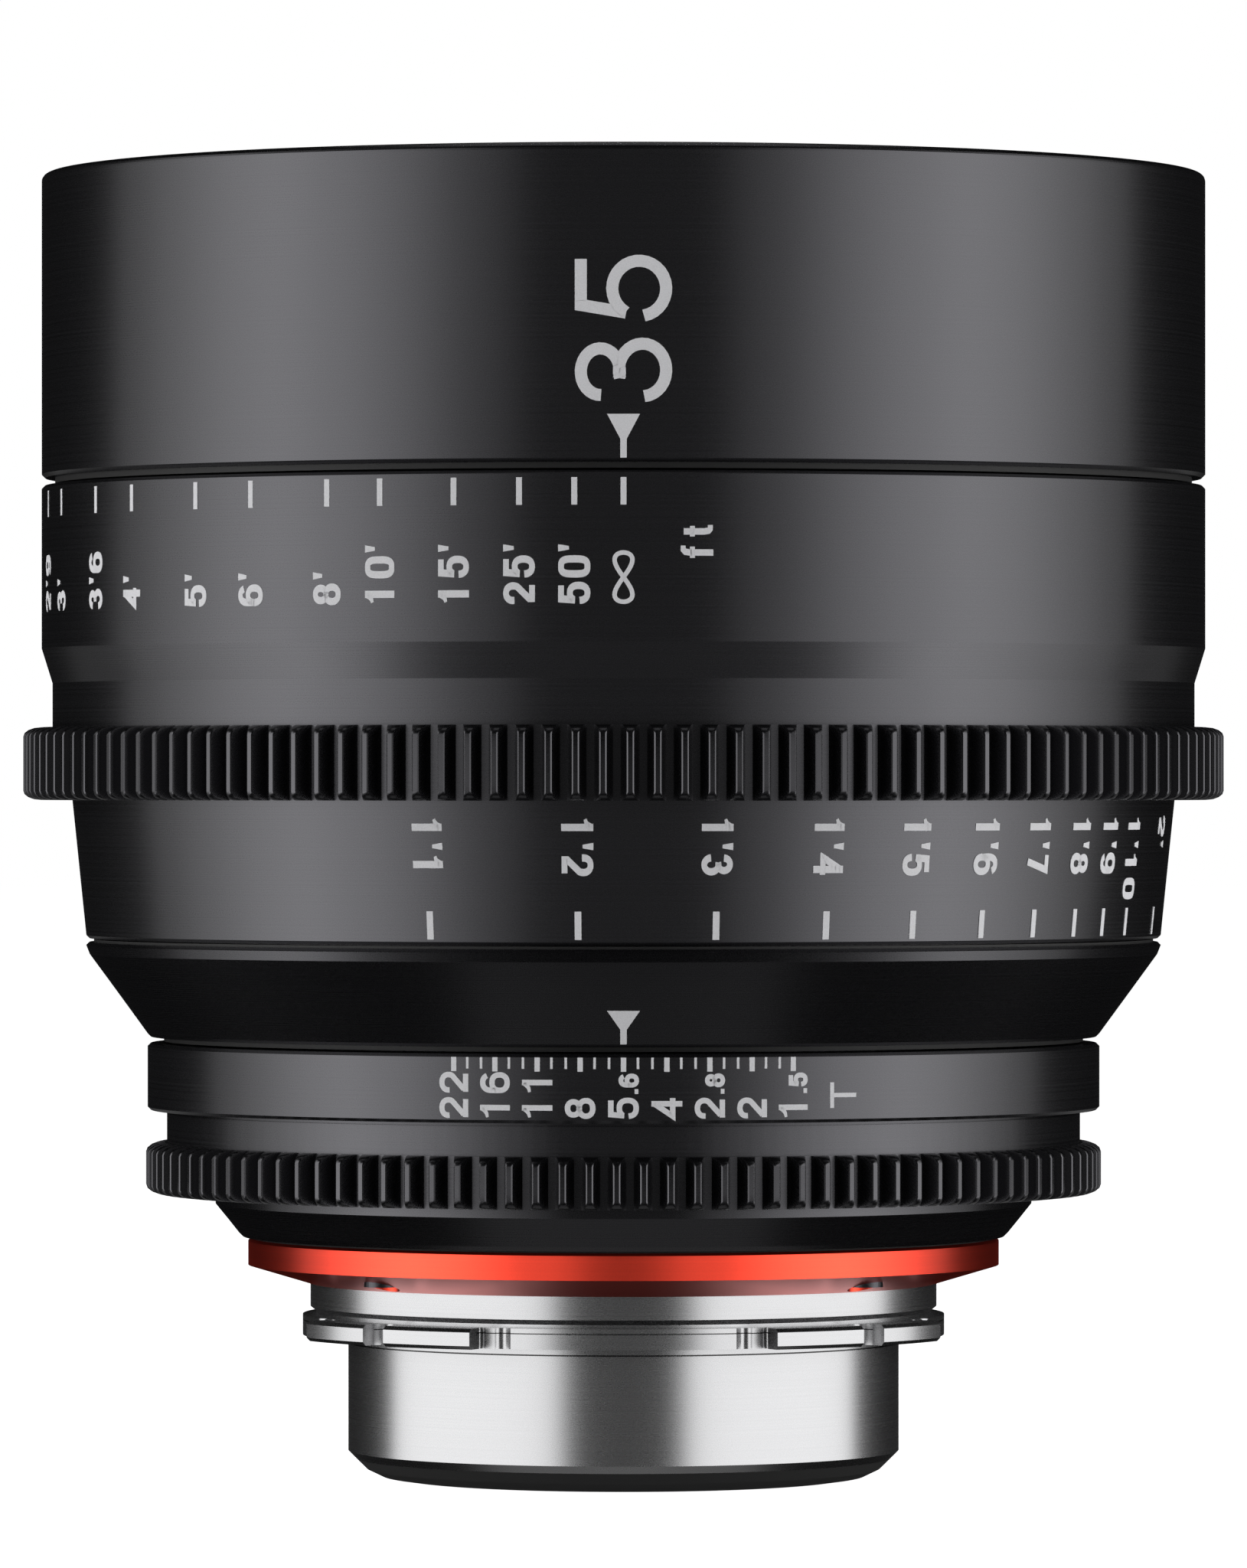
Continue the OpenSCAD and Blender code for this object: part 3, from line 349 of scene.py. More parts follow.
@dataclass(frozen=True)
class PaintedShadeLineFinish(TurnedFinish):
    """Turned surface with dark lines of painted shade round it, each where a fine groove would lie, inside
    its wings.
    """

    # Height and half width of each painted shade line, in metres.
    painted_shade_lines: tuple[Span, ...] = ((-0.78 * MM, 0.07 * MM), (1.5 * MM, 0.05 * MM))
    reach: float = 32.5 * MM
    # Colour of the painted shade in those lines.
    painted_shade_tone: Colour = (0.03, 0.03, 0.03)

    def material(self) -> bpy.types.Material:
        """Makes the material.

        Returns:
            The new material.
        """
        material = super().material()
        shader = ShaderTree(material)
        # Paints each line into the base colour as painted shade.
        for height, half in self.painted_shade_lines:
            shader.line(height, half, self.reach, self.painted_shade_tone)
        return material


@dataclass(frozen=True)
class GlassFinish:
    """Polished optical glass with a faint coloured coating."""

    name: str
    reflex: Colour
    ior: float = 1.62
    specular: float = 0.35
    dark: Colour = (0.94, 0.97, 0.96)
    light: Colour = (0.98, 0.99, 0.99)
    roughness: Span = (0.004, 0.012)
    polish_pitch: float = 2.0 * MM

    def material(self) -> bpy.types.Material:
        """Makes the material.

        Returns:
            The new material.
        """
        shader = ShaderTree.new(self.name)
        shader.fix({"Transmission Weight": 1.0, "IOR": self.ior})
        shader.fix({"Specular IOR Level": self.specular, "Specular Tint": (*self.reflex, 1.0)})
        polish = shader.grain(self.polish_pitch)
        shader.tint(polish, self.dark, self.light)
        shader.span(polish, *self.roughness, "Roughness")
        return shader.material


@dataclass(frozen=True)
class PaintFinish:
    """Pale paint wiped into engraved marks."""

    name: str
    dark: Colour
    light: Colour
    specular: float = 0.3
    roughness: Span = (0.55, 0.75)
    grain_pitch: float = 0.10 * MM
    grain_detail: float = 3.0
    depth: float = 0.004 * MM

    def material(self) -> bpy.types.Material:
        """Makes the material.

        Returns:
            The new material.
        """
        shader = ShaderTree.new(self.name)
        shader.fix({"Specular IOR Level": self.specular})
        grain = shader.grain(self.grain_pitch, self.grain_detail)
        shader.tint(grain, self.dark, self.light)
        shader.span(grain, *self.roughness, "Roughness")
        shader.relief(grain, self.depth)
        return shader.material


@dataclass(frozen=True)
class PaperFinish:
    """White studio paper that stays white under a soft light."""

    name: str
    glow: float = 1.0
    dark: Colour = (0.90, 0.90, 0.90)
    light: Colour = (0.93, 0.93, 0.93)
    roughness: Span = (0.85, 0.95)
    fibre_pitch: float = 3.0 * MM

    def material(self) -> bpy.types.Material:
        """Makes the material.

        Returns:
            The new material.
        """
        shader = ShaderTree.new(self.name)
        shader.fix({"Emission Color": (1.0, 1.0, 1.0, 1.0), "Emission Strength": self.glow})
        fibre = shader.grain(self.fibre_pitch)
        shader.tint(fibre, self.dark, self.light)
        shader.span(fibre, *self.roughness, "Roughness")
        return shader.material


@dataclass(frozen=True)
class FinishRack:
    """All finishes of the lens, made once and shared."""

    black: bpy.types.Material
    matt: bpy.types.Material
    red: bpy.types.Material
    steel: bpy.types.Material
    mount_steel: bpy.types.Material
    brass: bpy.types.Material
    polymer: bpy.types.Material
    dark_steel: bpy.types.Material
    glass: bpy.types.Material
    paint: bpy.types.Material
    paper: bpy.types.Material

    @classmethod
    def stock(cls) -> "FinishRack":
        """Makes every finish.

        Returns:
            The rack with the made materials.
        """
        return cls(
            black=TurnedFinish(
                "black_anodised_satin", (0.0020, 0.0020, 0.0023), (0.0040, 0.0040, 0.0045), 0.27, 0.025,
                specular=0.79, sheen=(0.945, 0.935, 1.0), depth=0.0011 * MM,
            ).material(),
            matt=TurnedFinish(
                "matt_black_trap", (0.012, 0.012, 0.012), (0.022, 0.022, 0.022), 0.75, 0.08, specular=0.3
            ).material(),
            red=TurnedFinish(
                "red_anodised_satin", (0.86, 0.048, 0.020), (0.96, 0.062, 0.026), 0.30, 0.02,
                metallic=1.0, coat=0.4, depth=0.001 * MM,
            ).material(),
            steel=TurnedFinish(
                "turned_steel", (0.31, 0.31, 0.315), (0.37, 0.37, 0.375), 0.30, 0.02,
                metallic=1.0, grain_share=0.35, depth=0.0006 * MM,
            ).material(),
            # Mount steel with painted shade lines below the wings and at the top of the flange band.
            mount_steel=PaintedShadeLineFinish(
                "mount_steel", (0.33, 0.33, 0.335), (0.36, 0.36, 0.365), 0.27, 0.015,
                metallic=1.0, across=0.0, grain_share=0.6, depth=0.0003 * MM,
            ).material(),
            brass=TurnedFinish(
                "turned_brass", (0.60, 0.40, 0.16), (0.74, 0.52, 0.24), 0.30, 0.06,
                metallic=1.0, grain_share=0.2,
            ).material(),
            polymer=TurnedFinish(
                "bearing_polymer", (0.010, 0.010, 0.010), (0.018, 0.018, 0.018), 0.60, 0.06
            ).material(),
            dark_steel=TurnedFinish(
                "blackened_steel", (0.045, 0.045, 0.050), (0.075, 0.075, 0.080), 0.34, 0.05, metallic=1.0
            ).material(),
            glass=GlassFinish("coated_glass", (0.62, 0.52, 0.95)).material(),
            paint=PaintFinish("scale_paint", (0.62, 0.62, 0.64), (0.74, 0.74, 0.76)).material(),
            paper=PaperFinish("studio_paper").material(),
        )


@dataclass(frozen=True)
class Band:
    """Turned surface between two circles, which carries marks. Heights and radii in metres."""

    low: float
    low_radius: float
    high: float
    high_radius: float

    @property
    def lean(self) -> float:
        """Angle by which the surface leans out towards its top, in radians."""
        return math.atan2(self.high_radius - self.low_radius, self.high - self.low)

    def radius(self, height: float) -> float:
        """Radius of the surface at a height."""
        return self.low_radius + (height - self.low) * math.tan(self.lean)

    def at(self, turn: float, height: float, lift: float) -> Vector:
        """Point on or near the surface.

        Args:
            turn: Angle from the front, towards the right, in radians.
            height: Height along the axis.
            lift: Distance out of the surface.

        Returns:
            The point in the part's frame.
        """
        reach = self.radius(height) + lift * math.cos(self.lean)
        rise = height - lift * math.sin(self.lean)
        return Vector((reach * math.sin(turn), -reach * math.cos(turn), rise))


@dataclass(frozen=True)
class Stroke:
    """One pen stroke of a sign, in units of the sign's pen box, with the pen's share left at its end."""

    points: tuple[Point, ...]
    closed: bool = False
    taper: float = 1.0


@dataclass(frozen=True)
class Sign:
    """One numeral or letter: width as a share of its height, room that it takes and its strokes."""

    width: float
    advance: float
    strokes: tuple[Stroke, ...]


def arc(
    centre: Point, radii: Point, start: float, stop: float, square: float = 2.0, step: float = 12.0
) -> tuple[Point, ...]:
    """Points along an arc of an oval.

    Args:
        centre: Centre of the oval.
        radii: Its half width and half height.
        start: First angle in degrees.
        stop: Last angle in degrees, lower than the first for a clockwise arc.
        square: Exponent, 2 for an ellipse and more for fuller corners.
        step: Largest step in degrees.

    Returns:
        The points, with both ends.
    """
    count = max(2, math.ceil(abs(stop - start) / step))
    points = []
    for k in range(count + 1):
        turn = math.radians(start + (stop - start) * k / count)
        across, along = math.cos(turn), math.sin(turn)
        points.append(
            (
                centre[0] + radii[0] * math.copysign(abs(across) ** (2.0 / square), across),
                centre[1] + radii[1] * math.copysign(abs(along) ** (2.0 / square), along),
            )
        )
    return tuple(points)


def oval(centre: Point, radii: Point, square: float = 2.0) -> Stroke:
    """Closed stroke round an oval.

    Args:
        centre: Centre of the oval.
        radii: Its half width and half height.
        square: Exponent, 2 for an ellipse and more for fuller corners.

    Returns:
        The stroke.
    """
    return Stroke(arc(centre, radii, 0.0, 360.0, square, 10.0)[:-1], True)


class Lettering:
    """Numerals and letters drawn as pen strokes, as an engraver cuts them."""

    OVER = 0.11
    DIGIT = 0.82
    LOOP = 48

    def __init__(self) -> None:
        """Draws every sign."""
        over, wide = self.OVER, self.DIGIT
        six = (
            oval((0.5, 0.31), (0.5, 0.31), 2.3),
            Stroke((*arc((0.5, 0.64), (0.5, 0.36), 28, 180, 2.3), (0.0, 0.31))),
        )
        nine = tuple(Stroke(tuple((1 - u, 1 - v) for u, v in s.points), s.closed) for s in six)
        eight = (oval((0.5, 0.765), (0.42, 0.235), 2.2), oval((0.5, 0.27), (0.5, 0.27), 2.2))
        four = (
            Stroke(((0.74, 1.0), (0.0, 0.27), (1.08, 0.27))),
            Stroke(((0.74, 1.0 + over), (0.74, -over))),
        )
        three = (
            Stroke(arc((0.465, 0.771), (0.446, 0.229), 182, -106)),
            Stroke(arc((0.498, 0.277), (0.502, 0.277), 108, -176)),
        )
        five = (
            Stroke(((1.0, 1.0), (0.10, 1.0), (0.03, 0.47))),
            Stroke(arc((0.5, 0.333), (0.5, 0.333), 146, -176, 2.4)),
        )
        round_five = (
            Stroke(((1.034, 1.0), (0.20, 1.0), (0.06, 0.47))),
            Stroke(arc((0.5, 0.316), (0.5, 0.316), 150, -170)),
        )
        turns = [math.tau * k / self.LOOP for k in range(self.LOOP)]
        loop = tuple((0.5 + 0.5 * math.cos(turn), 0.5 + 0.5 * math.sin(2 * turn)) for turn in turns)
        self.signs = {
            "0": Sign(0.69, wide, (oval((0.5, 0.5), (0.5, 0.5), 3.3),)),
            "1": Sign(
                0.44,
                wide,
                (
                    Stroke(((1.0, 1.0 + over), (1.0, -over))),
                    Stroke(((0.95, 1.02), (0.66, 0.92), (0.30, 0.84), (-0.20, 0.80)), taper=0.5),
                ),
            ),
            "2": Sign(
                0.68,
                wide,
                (
                    Stroke((*arc((0.5, 0.72), (0.5, 0.28), 188, -32, 2.2), (0.06, 0.07))),
                    Stroke(((-over, 0.0), (1.06, 0.0))),
                ),
            ),
            "3": Sign(0.66, wide, three),
            "4": Sign(0.72, wide, four),
            "5": Sign(0.69, wide, five),
            "6": Sign(0.68, wide, six),
            "7": Sign(0.66, wide, (Stroke(((-0.12, 1.0), (0.96, 1.0), (0.36, -over))),)),
            "8": Sign(0.68, wide, eight),
            "9": Sign(0.68, wide, nine),
            "'": Sign(0.20, 0.34, (Stroke(((0.5, 1.0 + over), (0.5, 0.70)), taper=0.5),)),
            ".": Sign(0.20, 0.30, (Stroke(((0.5, -over), (0.5, 0.13))),)),
            "f": Sign(
                0.52,
                0.66,
                (
                    Stroke(((0.38, -over), (0.38, 0.76), (0.46, 0.93), (0.66, 1.0), (1.05, 1.0))),
                    Stroke(((-0.15, 0.66), (0.95, 0.66))),
                ),
            ),
            "t": Sign(
                0.50,
                0.66,
                (
                    Stroke(((0.38, 0.98), (0.38, 0.22), (0.46, 0.06), (0.66, 0.0), (1.05, 0.0))),
                    Stroke(((-0.15, 0.66), (0.95, 0.66))),
                ),
            ),
            "T": Sign(
                0.88,
                0.9,
                (Stroke(((-over, 1.0), (1.0 + over, 1.0))), Stroke(((0.5, 1.0), (0.5, -over)))),
            ),
            "∞": Sign(2.4, 2.5, (Stroke(loop, True),)),
        }
        self.round_signs = {"3": Sign(0.66, wide, three), "5": Sign(0.69, wide, round_five)}


LETTERS = Lettering()


@dataclass(frozen=True)
class Pen:
    """Engraving pen: thickness of upright stems and of level bars, in metres."""

    stem: float
    bar: float

    STRAIGHT: ClassVar[float] = 1e-4
    MITRE: ClassVar[float] = 1.1

    def edge(self, normal: Point) -> Point:
        """Point of the pen's edge that faces a direction."""
        half_stem, half_bar = self.stem / 2, self.bar / 2
        length = math.hypot(half_stem * normal[0], half_bar * normal[1])
        return (half_stem**2 * normal[0] / length, half_bar**2 * normal[1] / length)

    def ribbon(self, stroke: Sequence[Point], closed: bool, taper: float) -> list[tuple[Point, Point]]:
        """Left and right edge of a stroke.

        Args:
            stroke: Points of the pen's path, in metres.
            closed: True where the path ends at its start.
            taper: Share of the pen's width left at the end.

        Returns:
            One pair of edge points for each point of the path.
        """
        path = self.fine(stroke, closed)
        count = len(path)
        runs = [self.way(path[k], path[(k + 1) % count]) for k in range(count if closed else count - 1)]
        pairs = []
        for k, point in enumerate(path):
            before = runs[k - 1] if closed or k > 0 else runs[0]
            after = runs[k] if k < len(runs) else runs[-1]
            scale = 1.0 + (taper - 1.0) * k / max(1, count - 1)
            pairs.append(tuple(self.corner(point, before, after, side * scale) for side in (1.0, -1.0)))
        return pairs

    def fine(self, stroke: Sequence[Point], closed: bool, step: float = 0.4 * MM) -> list[Point]:
        """Splits long runs, so that a stroke follows a round surface.

        Args:
            stroke: Points of the path.
            closed: True where the path ends at its start.
            step: Longest run that stays whole, in metres.

        Returns:
            The points with the added ones.
        """
        ends = list(stroke) + ([stroke[0]] if closed else [])
        path = []
        for first, last in zip(ends, ends[1:]):
            count = max(1, math.ceil(math.dist(first, last) / step))
            path += [
                (first[0] + (last[0] - first[0]) * k / count, first[1] + (last[1] - first[1]) * k / count)
                for k in range(count)
            ]
        return path if closed else path + [ends[-1]]

    @staticmethod
    def way(first: Point, last: Point) -> Point:
        """Unit direction from one point to another."""
        length = math.dist(first, last)
        return ((last[0] - first[0]) / length, (last[1] - first[1]) / length)

    def corner(self, point: Point, before: Point, after: Point, side: float) -> Point:
        """Edge point where two runs meet, mitred within limits.

        Args:
            point: Point of the path.
            before: Direction of the run that ends there.
            after: Direction of the run that starts there.
            side: Share of the pen, positive on the left and negative on the right.

        Returns:
            The edge point.
        """
        hand = math.copysign(1, side)
        first, second = (self.edge((-run[1] * hand, run[0] * hand)) for run in (before, after))
        cross = before[0] * after[1] - before[1] * after[0]
        if abs(cross) < self.STRAIGHT:
            reach = second
        else:
            gap = (second[0] - first[0], second[1] - first[1])
            along = (gap[0] * after[1] - gap[1] * after[0]) / cross
            reach = (first[0] + along * before[0], first[1] + along * before[1])
        limit = self.MITRE * max(self.stem, self.bar)
        share = abs(side) * min(1.0, limit / math.hypot(*reach))
        return (point[0] + reach[0] * share, point[1] + reach[1] * share)


class MarkSheet:
    """Painted marks on one band, gathered into one mesh of thin closed plates."""

    LIFT = 0.02 * MM
    SINK = 0.06 * MM

    def __init__(self, name: str, band: Band) -> None:
        """Starts an empty sheet.

        Args:
            name: Name of the piece.
            band: Surface that carries the marks.
        """
        self.name = name
        self.band = band
        self.points: list[Vector] = []
        self.faces: list[tuple[int, ...]] = []

    def plate(self, rows: Sequence[Sequence[Point]], closed: bool = False) -> None:
        """Adds one plate.

        Args:
            rows: Rows of points as turn in radians and height in metres, all of one length.
            closed: True where the last row meets the first.
        """
        start, count, width = len(self.points), len(rows), len(rows[0])
        for lift in (self.LIFT, -self.SINK):
            self.points += [self.band.at(turn, height, lift) for row in rows for turn, height in row]

        def spot(layer: int, row: int, column: int) -> int:
            """Index of a point of the plate."""
            return start + (layer * count + row % count) * width + column

        for row in range(count if closed else count - 1):
            for column in range(width - 1):
                for layer in (0, 1):
                    ring = [spot(layer, row, column), spot(layer, row + 1, column)]
                    ring += [spot(layer, row + 1, column + 1), spot(layer, row, column + 1)]
                    self.faces.append(tuple(ring))
            for column in (0, width - 1):
                ring = [spot(0, row, column), spot(0, row + 1, column)]
                self.faces.append((*ring, spot(1, row + 1, column), spot(1, row, column)))
        for row in () if closed else (0, count - 1):
            for column in range(width - 1):
                ring = [spot(0, row, column), spot(0, row, column + 1)]
                self.faces.append((*ring, spot(1, row, column + 1), spot(1, row, column)))

    def label(
        self, text: str, turn: float, start: float, size: float, pen: Pen, reading: Reading,
        signs: dict[str, Sign] = LETTERS.signs,
    ) -> float:
        """Adds a label that runs along the axis.

        Args:
            text: Numerals and letters.
            turn: Angle of the label's middle line, in radians.
            start: Height where the label starts, in metres.
            size: Height of the numerals, in metres.
            pen: Pen that draws them.
            reading: Way the label runs.
            signs: Signs to draw them from.

        Returns:
            Height where the next sign would start.
        """
        run, tops = reading.value
        reach = self.band.radius(start)
        for letter in text:
            sign = signs[letter]
            box = (sign.width * size - pen.stem, size - pen.bar)
            for stroke in sign.strokes:
                path = [(pen.stem / 2 + u * box[0], pen.bar / 2 + v * box[1]) for u, v in stroke.points]
                pairs = pen.ribbon(path, stroke.closed, stroke.taper)
                rows = [
                    [(turn + tops * (v - size / 2) / reach, start + run * u) for u, v in pair]
                    for pair in pairs
                ]
                self.plate(rows, stroke.closed)
            start += run * sign.advance * size
        return start

    def index(
        self, turn: float, base: float, shoulder: float, tip: float, width: float, stem: float
    ) -> None:
        """Adds an index mark: a triangle that narrows to a stem.

        Args:
            turn: Angle of the mark, in radians.
            base: Height of the triangle's wide end, in metres.
            shoulder: Height where the stem starts.
            tip: Height where the stem ends.
            width: Width of the wide end.
            stem: Width of the stem.
        """
        rows = []
        for height, wide in ((base, width), (shoulder, stem), (tip, stem)):
            half = wide / 2 / self.band.radius(height)
            rows.append([(turn + half * side, height) for side in (-1.0, -0.5, 0.0, 0.5, 1.0)])
        self.plate(rows)

    def build(self, body: Body, paint: bpy.types.Material) -> bpy.types.Object:
        """Makes the piece and lets it ride.

        Args:
            body: Body that carries the marks.
            paint: Paint in the marks.

        Returns:
            The finished piece.
        """
        mesh = bpy.data.meshes.new(self.name)
        mesh.from_pydata(self.points, [], self.faces)
        face_outwards(mesh)
        mesh.materials.append(paint)
        return mount(bpy.data.objects.new(self.name, mesh), body)


def face_outwards(mesh: bpy.types.Mesh, weld: float = 0.0) -> None:
    """Turns the faces of a closed mesh outwards, after its doubles are merged.

    Args:
        mesh: Mesh to put right.
        weld: Largest distance of points that are merged, in metres, or 0 to merge none.
    """
    shell = bmesh.new()
    shell.from_mesh(mesh)
    if weld:
        bmesh.ops.remove_doubles(shell, verts=shell.verts, dist=weld)
    bmesh.ops.recalc_face_normals(shell, faces=shell.faces)
    shell.to_mesh(mesh)
    shell.free()


def mount(piece: bpy.types.Object, body: Body) -> bpy.types.Object:
    """Links a piece and lets it ride on a body.

    Args:
        piece: Piece with its place in its mesh.
        body: Body that carries it.

    Returns:
        The same piece.
    """
    if piece.name not in bpy.context.scene.collection.objects:
        bpy.context.scene.collection.objects.link(piece)
    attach(piece, body.value)
    LOG.info("piece %s rides on %s", piece.name, body.value)
    return piece


class RepeatTree:
    """Node tree that sets a shape on points, turns each copy, makes all real and finishes them."""

    def __init__(self, name: str, source: str, sizes: dict[str, str]) -> None:
        """Starts the tree with named inputs and wires its end.

        Args:
            name: Name of the tree.
            source: Name of the input for the piece's own mesh.
            sizes: Names of the inputs for its sizes, with their socket types.
        """
        self.tree = bpy.data.node_groups.new(name, "GeometryNodeTree")
        self.add, self.link = self.tree.nodes.new, self.tree.links.new
        face = self.tree.interface
        face.new_socket(source, in_out="INPUT", socket_type="NodeSocketGeometry")
        kinds = {**sizes, "Finish": "NodeSocketMaterial"}
        self.keys = {
            size: face.new_socket(size, in_out="INPUT", socket_type=kind).identifier
            for size, kind in kinds.items()
        }
        face.new_socket("Copies", in_out="OUTPUT", socket_type="NodeSocketGeometry")
        self.inlet = self.add("NodeGroupInput")
        self.turning = self.add("ShaderNodeCombineXYZ")
        self.spread = self.add("GeometryNodeInstanceOnPoints")
        self.end()

    def end(self) -> None:
        """Wires what turns the copies, makes them real and finishes them."""
        spin, solid = self.add("FunctionNodeEulerToRotation"), self.add("GeometryNodeRealizeInstances")
        coat, outlet = self.add("GeometryNodeSetMaterial"), self.add("NodeGroupOutput")
        self.link(self.turning.outputs[0], spin.inputs[0])
        self.link(spin.outputs[0], self.spread.inputs["Rotation"])
        self.link(self.spread.outputs[0], solid.inputs[0])
        self.link(solid.outputs[0], coat.inputs["Geometry"])
        self.link(self.inlet.outputs["Finish"], coat.inputs["Material"])
        self.link(coat.outputs[0], outlet.inputs[0])

    def settle(self, name: str, mesh: bpy.types.Mesh, values: dict[str, object]) -> bpy.types.Object:
        """Runs the tree on a mesh and keeps what it makes as a plain mesh.

        Args:
            name: Name of the piece.
            mesh: Mesh that goes in, and is then removed.
            values: Values of the named inputs.

        Returns:
            The piece, linked to the scene.
        """
        piece = bpy.data.objects.new(name, mesh)
        bpy.context.scene.collection.objects.link(piece)
        modifier = piece.modifiers.new("copies", "NODES")
        modifier.node_group = self.tree
        for key, value in values.items():
            modifier[self.keys[key]] = value
        shaped = piece.evaluated_get(bpy.context.evaluated_depsgraph_get())
        made = bpy.data.meshes.new_from_object(shaped)
        piece.modifiers.clear()
        piece.data = made
        made.name = name
        bpy.data.meshes.remove(mesh)
        return piece


class TickTree(RepeatTree):
    """Node tree that sets one flat tick on each point of a mesh and paints it."""

    TURN = "turn"

    def __init__(self) -> None:
        """Builds the tree with named inputs for the sizes of a tick."""
        sizes = dict.fromkeys(("Width", "Length", "Depth", "Lean"), "NodeSocketFloat")
        super().__init__("scale_ticks", "Points", sizes)
        points, tick = self.add("GeometryNodeMeshToPoints"), self.add("GeometryNodeMeshCube")
        size, turn = self.add("ShaderNodeCombineXYZ"), self.add("GeometryNodeInputNamedAttribute")
        turn.data_type = "FLOAT"
        turn.inputs["Name"].default_value = self.TURN
        for name, axis in (("Width", "X"), ("Depth", "Y"), ("Length", "Z")):
            self.link(self.inlet.outputs[name], size.inputs[axis])
        self.link(size.outputs[0], tick.inputs["Size"])
        self.link(self.inlet.outputs["Lean"], self.turning.inputs["X"])
        self.link(turn.outputs["Attribute"], self.turning.inputs["Z"])
        self.link(self.inlet.outputs["Points"], points.inputs["Mesh"])
        self.link(points.outputs[0], self.spread.inputs["Points"])
        self.link(tick.outputs["Mesh"], self.spread.inputs["Instance"])

    def build(
        self, name: str, band: Band, turns: Iterable[float], low: float, high: float, width: float,
        body: Body, paint: bpy.types.Material,
    ) -> bpy.types.Object:
        """Makes a row of ticks as one plain mesh.

        Args:
            name: Name of the piece.
            band: Surface that carries the ticks.
            turns: Angles of the ticks, in radians.
            low: Height of the ticks' lower ends, in metres.
            high: Height of their upper ends.
            width: Width of a tick.
            body: Body that carries them.
            paint: Paint in the ticks.

        Returns:
            The finished piece.
        """
        turns = list(turns)
        seat = (MarkSheet.LIFT - MarkSheet.SINK) / 2
        mesh = bpy.data.meshes.new(name + "_points")
        mesh.from_pydata([band.at(turn, (low + high) / 2, seat) for turn in turns], [], [])
        mesh.attributes.new(self.TURN, "FLOAT", "POINT").data.foreach_set("value", turns)
        sizes = {
            "Width": width,
            "Length": (high - low) / math.cos(band.lean),
            "Depth": MarkSheet.LIFT + MarkSheet.SINK,
            "Lean": band.lean,
            "Finish": paint,
        }
        return mount(self.settle(name, mesh, sizes), body)


class SectorTree(RepeatTree):
    """Node tree that turns one sector round the axis until the ring closes, and finishes it."""

    def __init__(self) -> None:
        """Builds the tree with a named input for the number of sectors."""
        super().__init__("ring_of_sectors", "Sector", {"Count": "NodeSocketInt"})
        seats, index = self.add("GeometryNodeMeshLine"), self.add("GeometryNodeInputIndex")
        seats.inputs["Offset"].default_value = (0.0, 0.0, 0.0)
        share, turn = self.add("ShaderNodeMath"), self.add("ShaderNodeMath")
        share.operation, turn.operation = "DIVIDE", "MULTIPLY"
        share.inputs[0].default_value = math.tau
        for socket in (seats.inputs["Count"], share.inputs[1]):
            self.link(self.inlet.outputs["Count"], socket)
        self.link(index.outputs[0], turn.inputs[0])
        self.link(share.outputs[0], turn.inputs[1])
        self.link(turn.outputs[0], self.turning.inputs["Z"])
        self.link(seats.outputs[0], self.spread.inputs["Points"])
        self.link(self.inlet.outputs["Sector"], self.spread.inputs["Instance"])


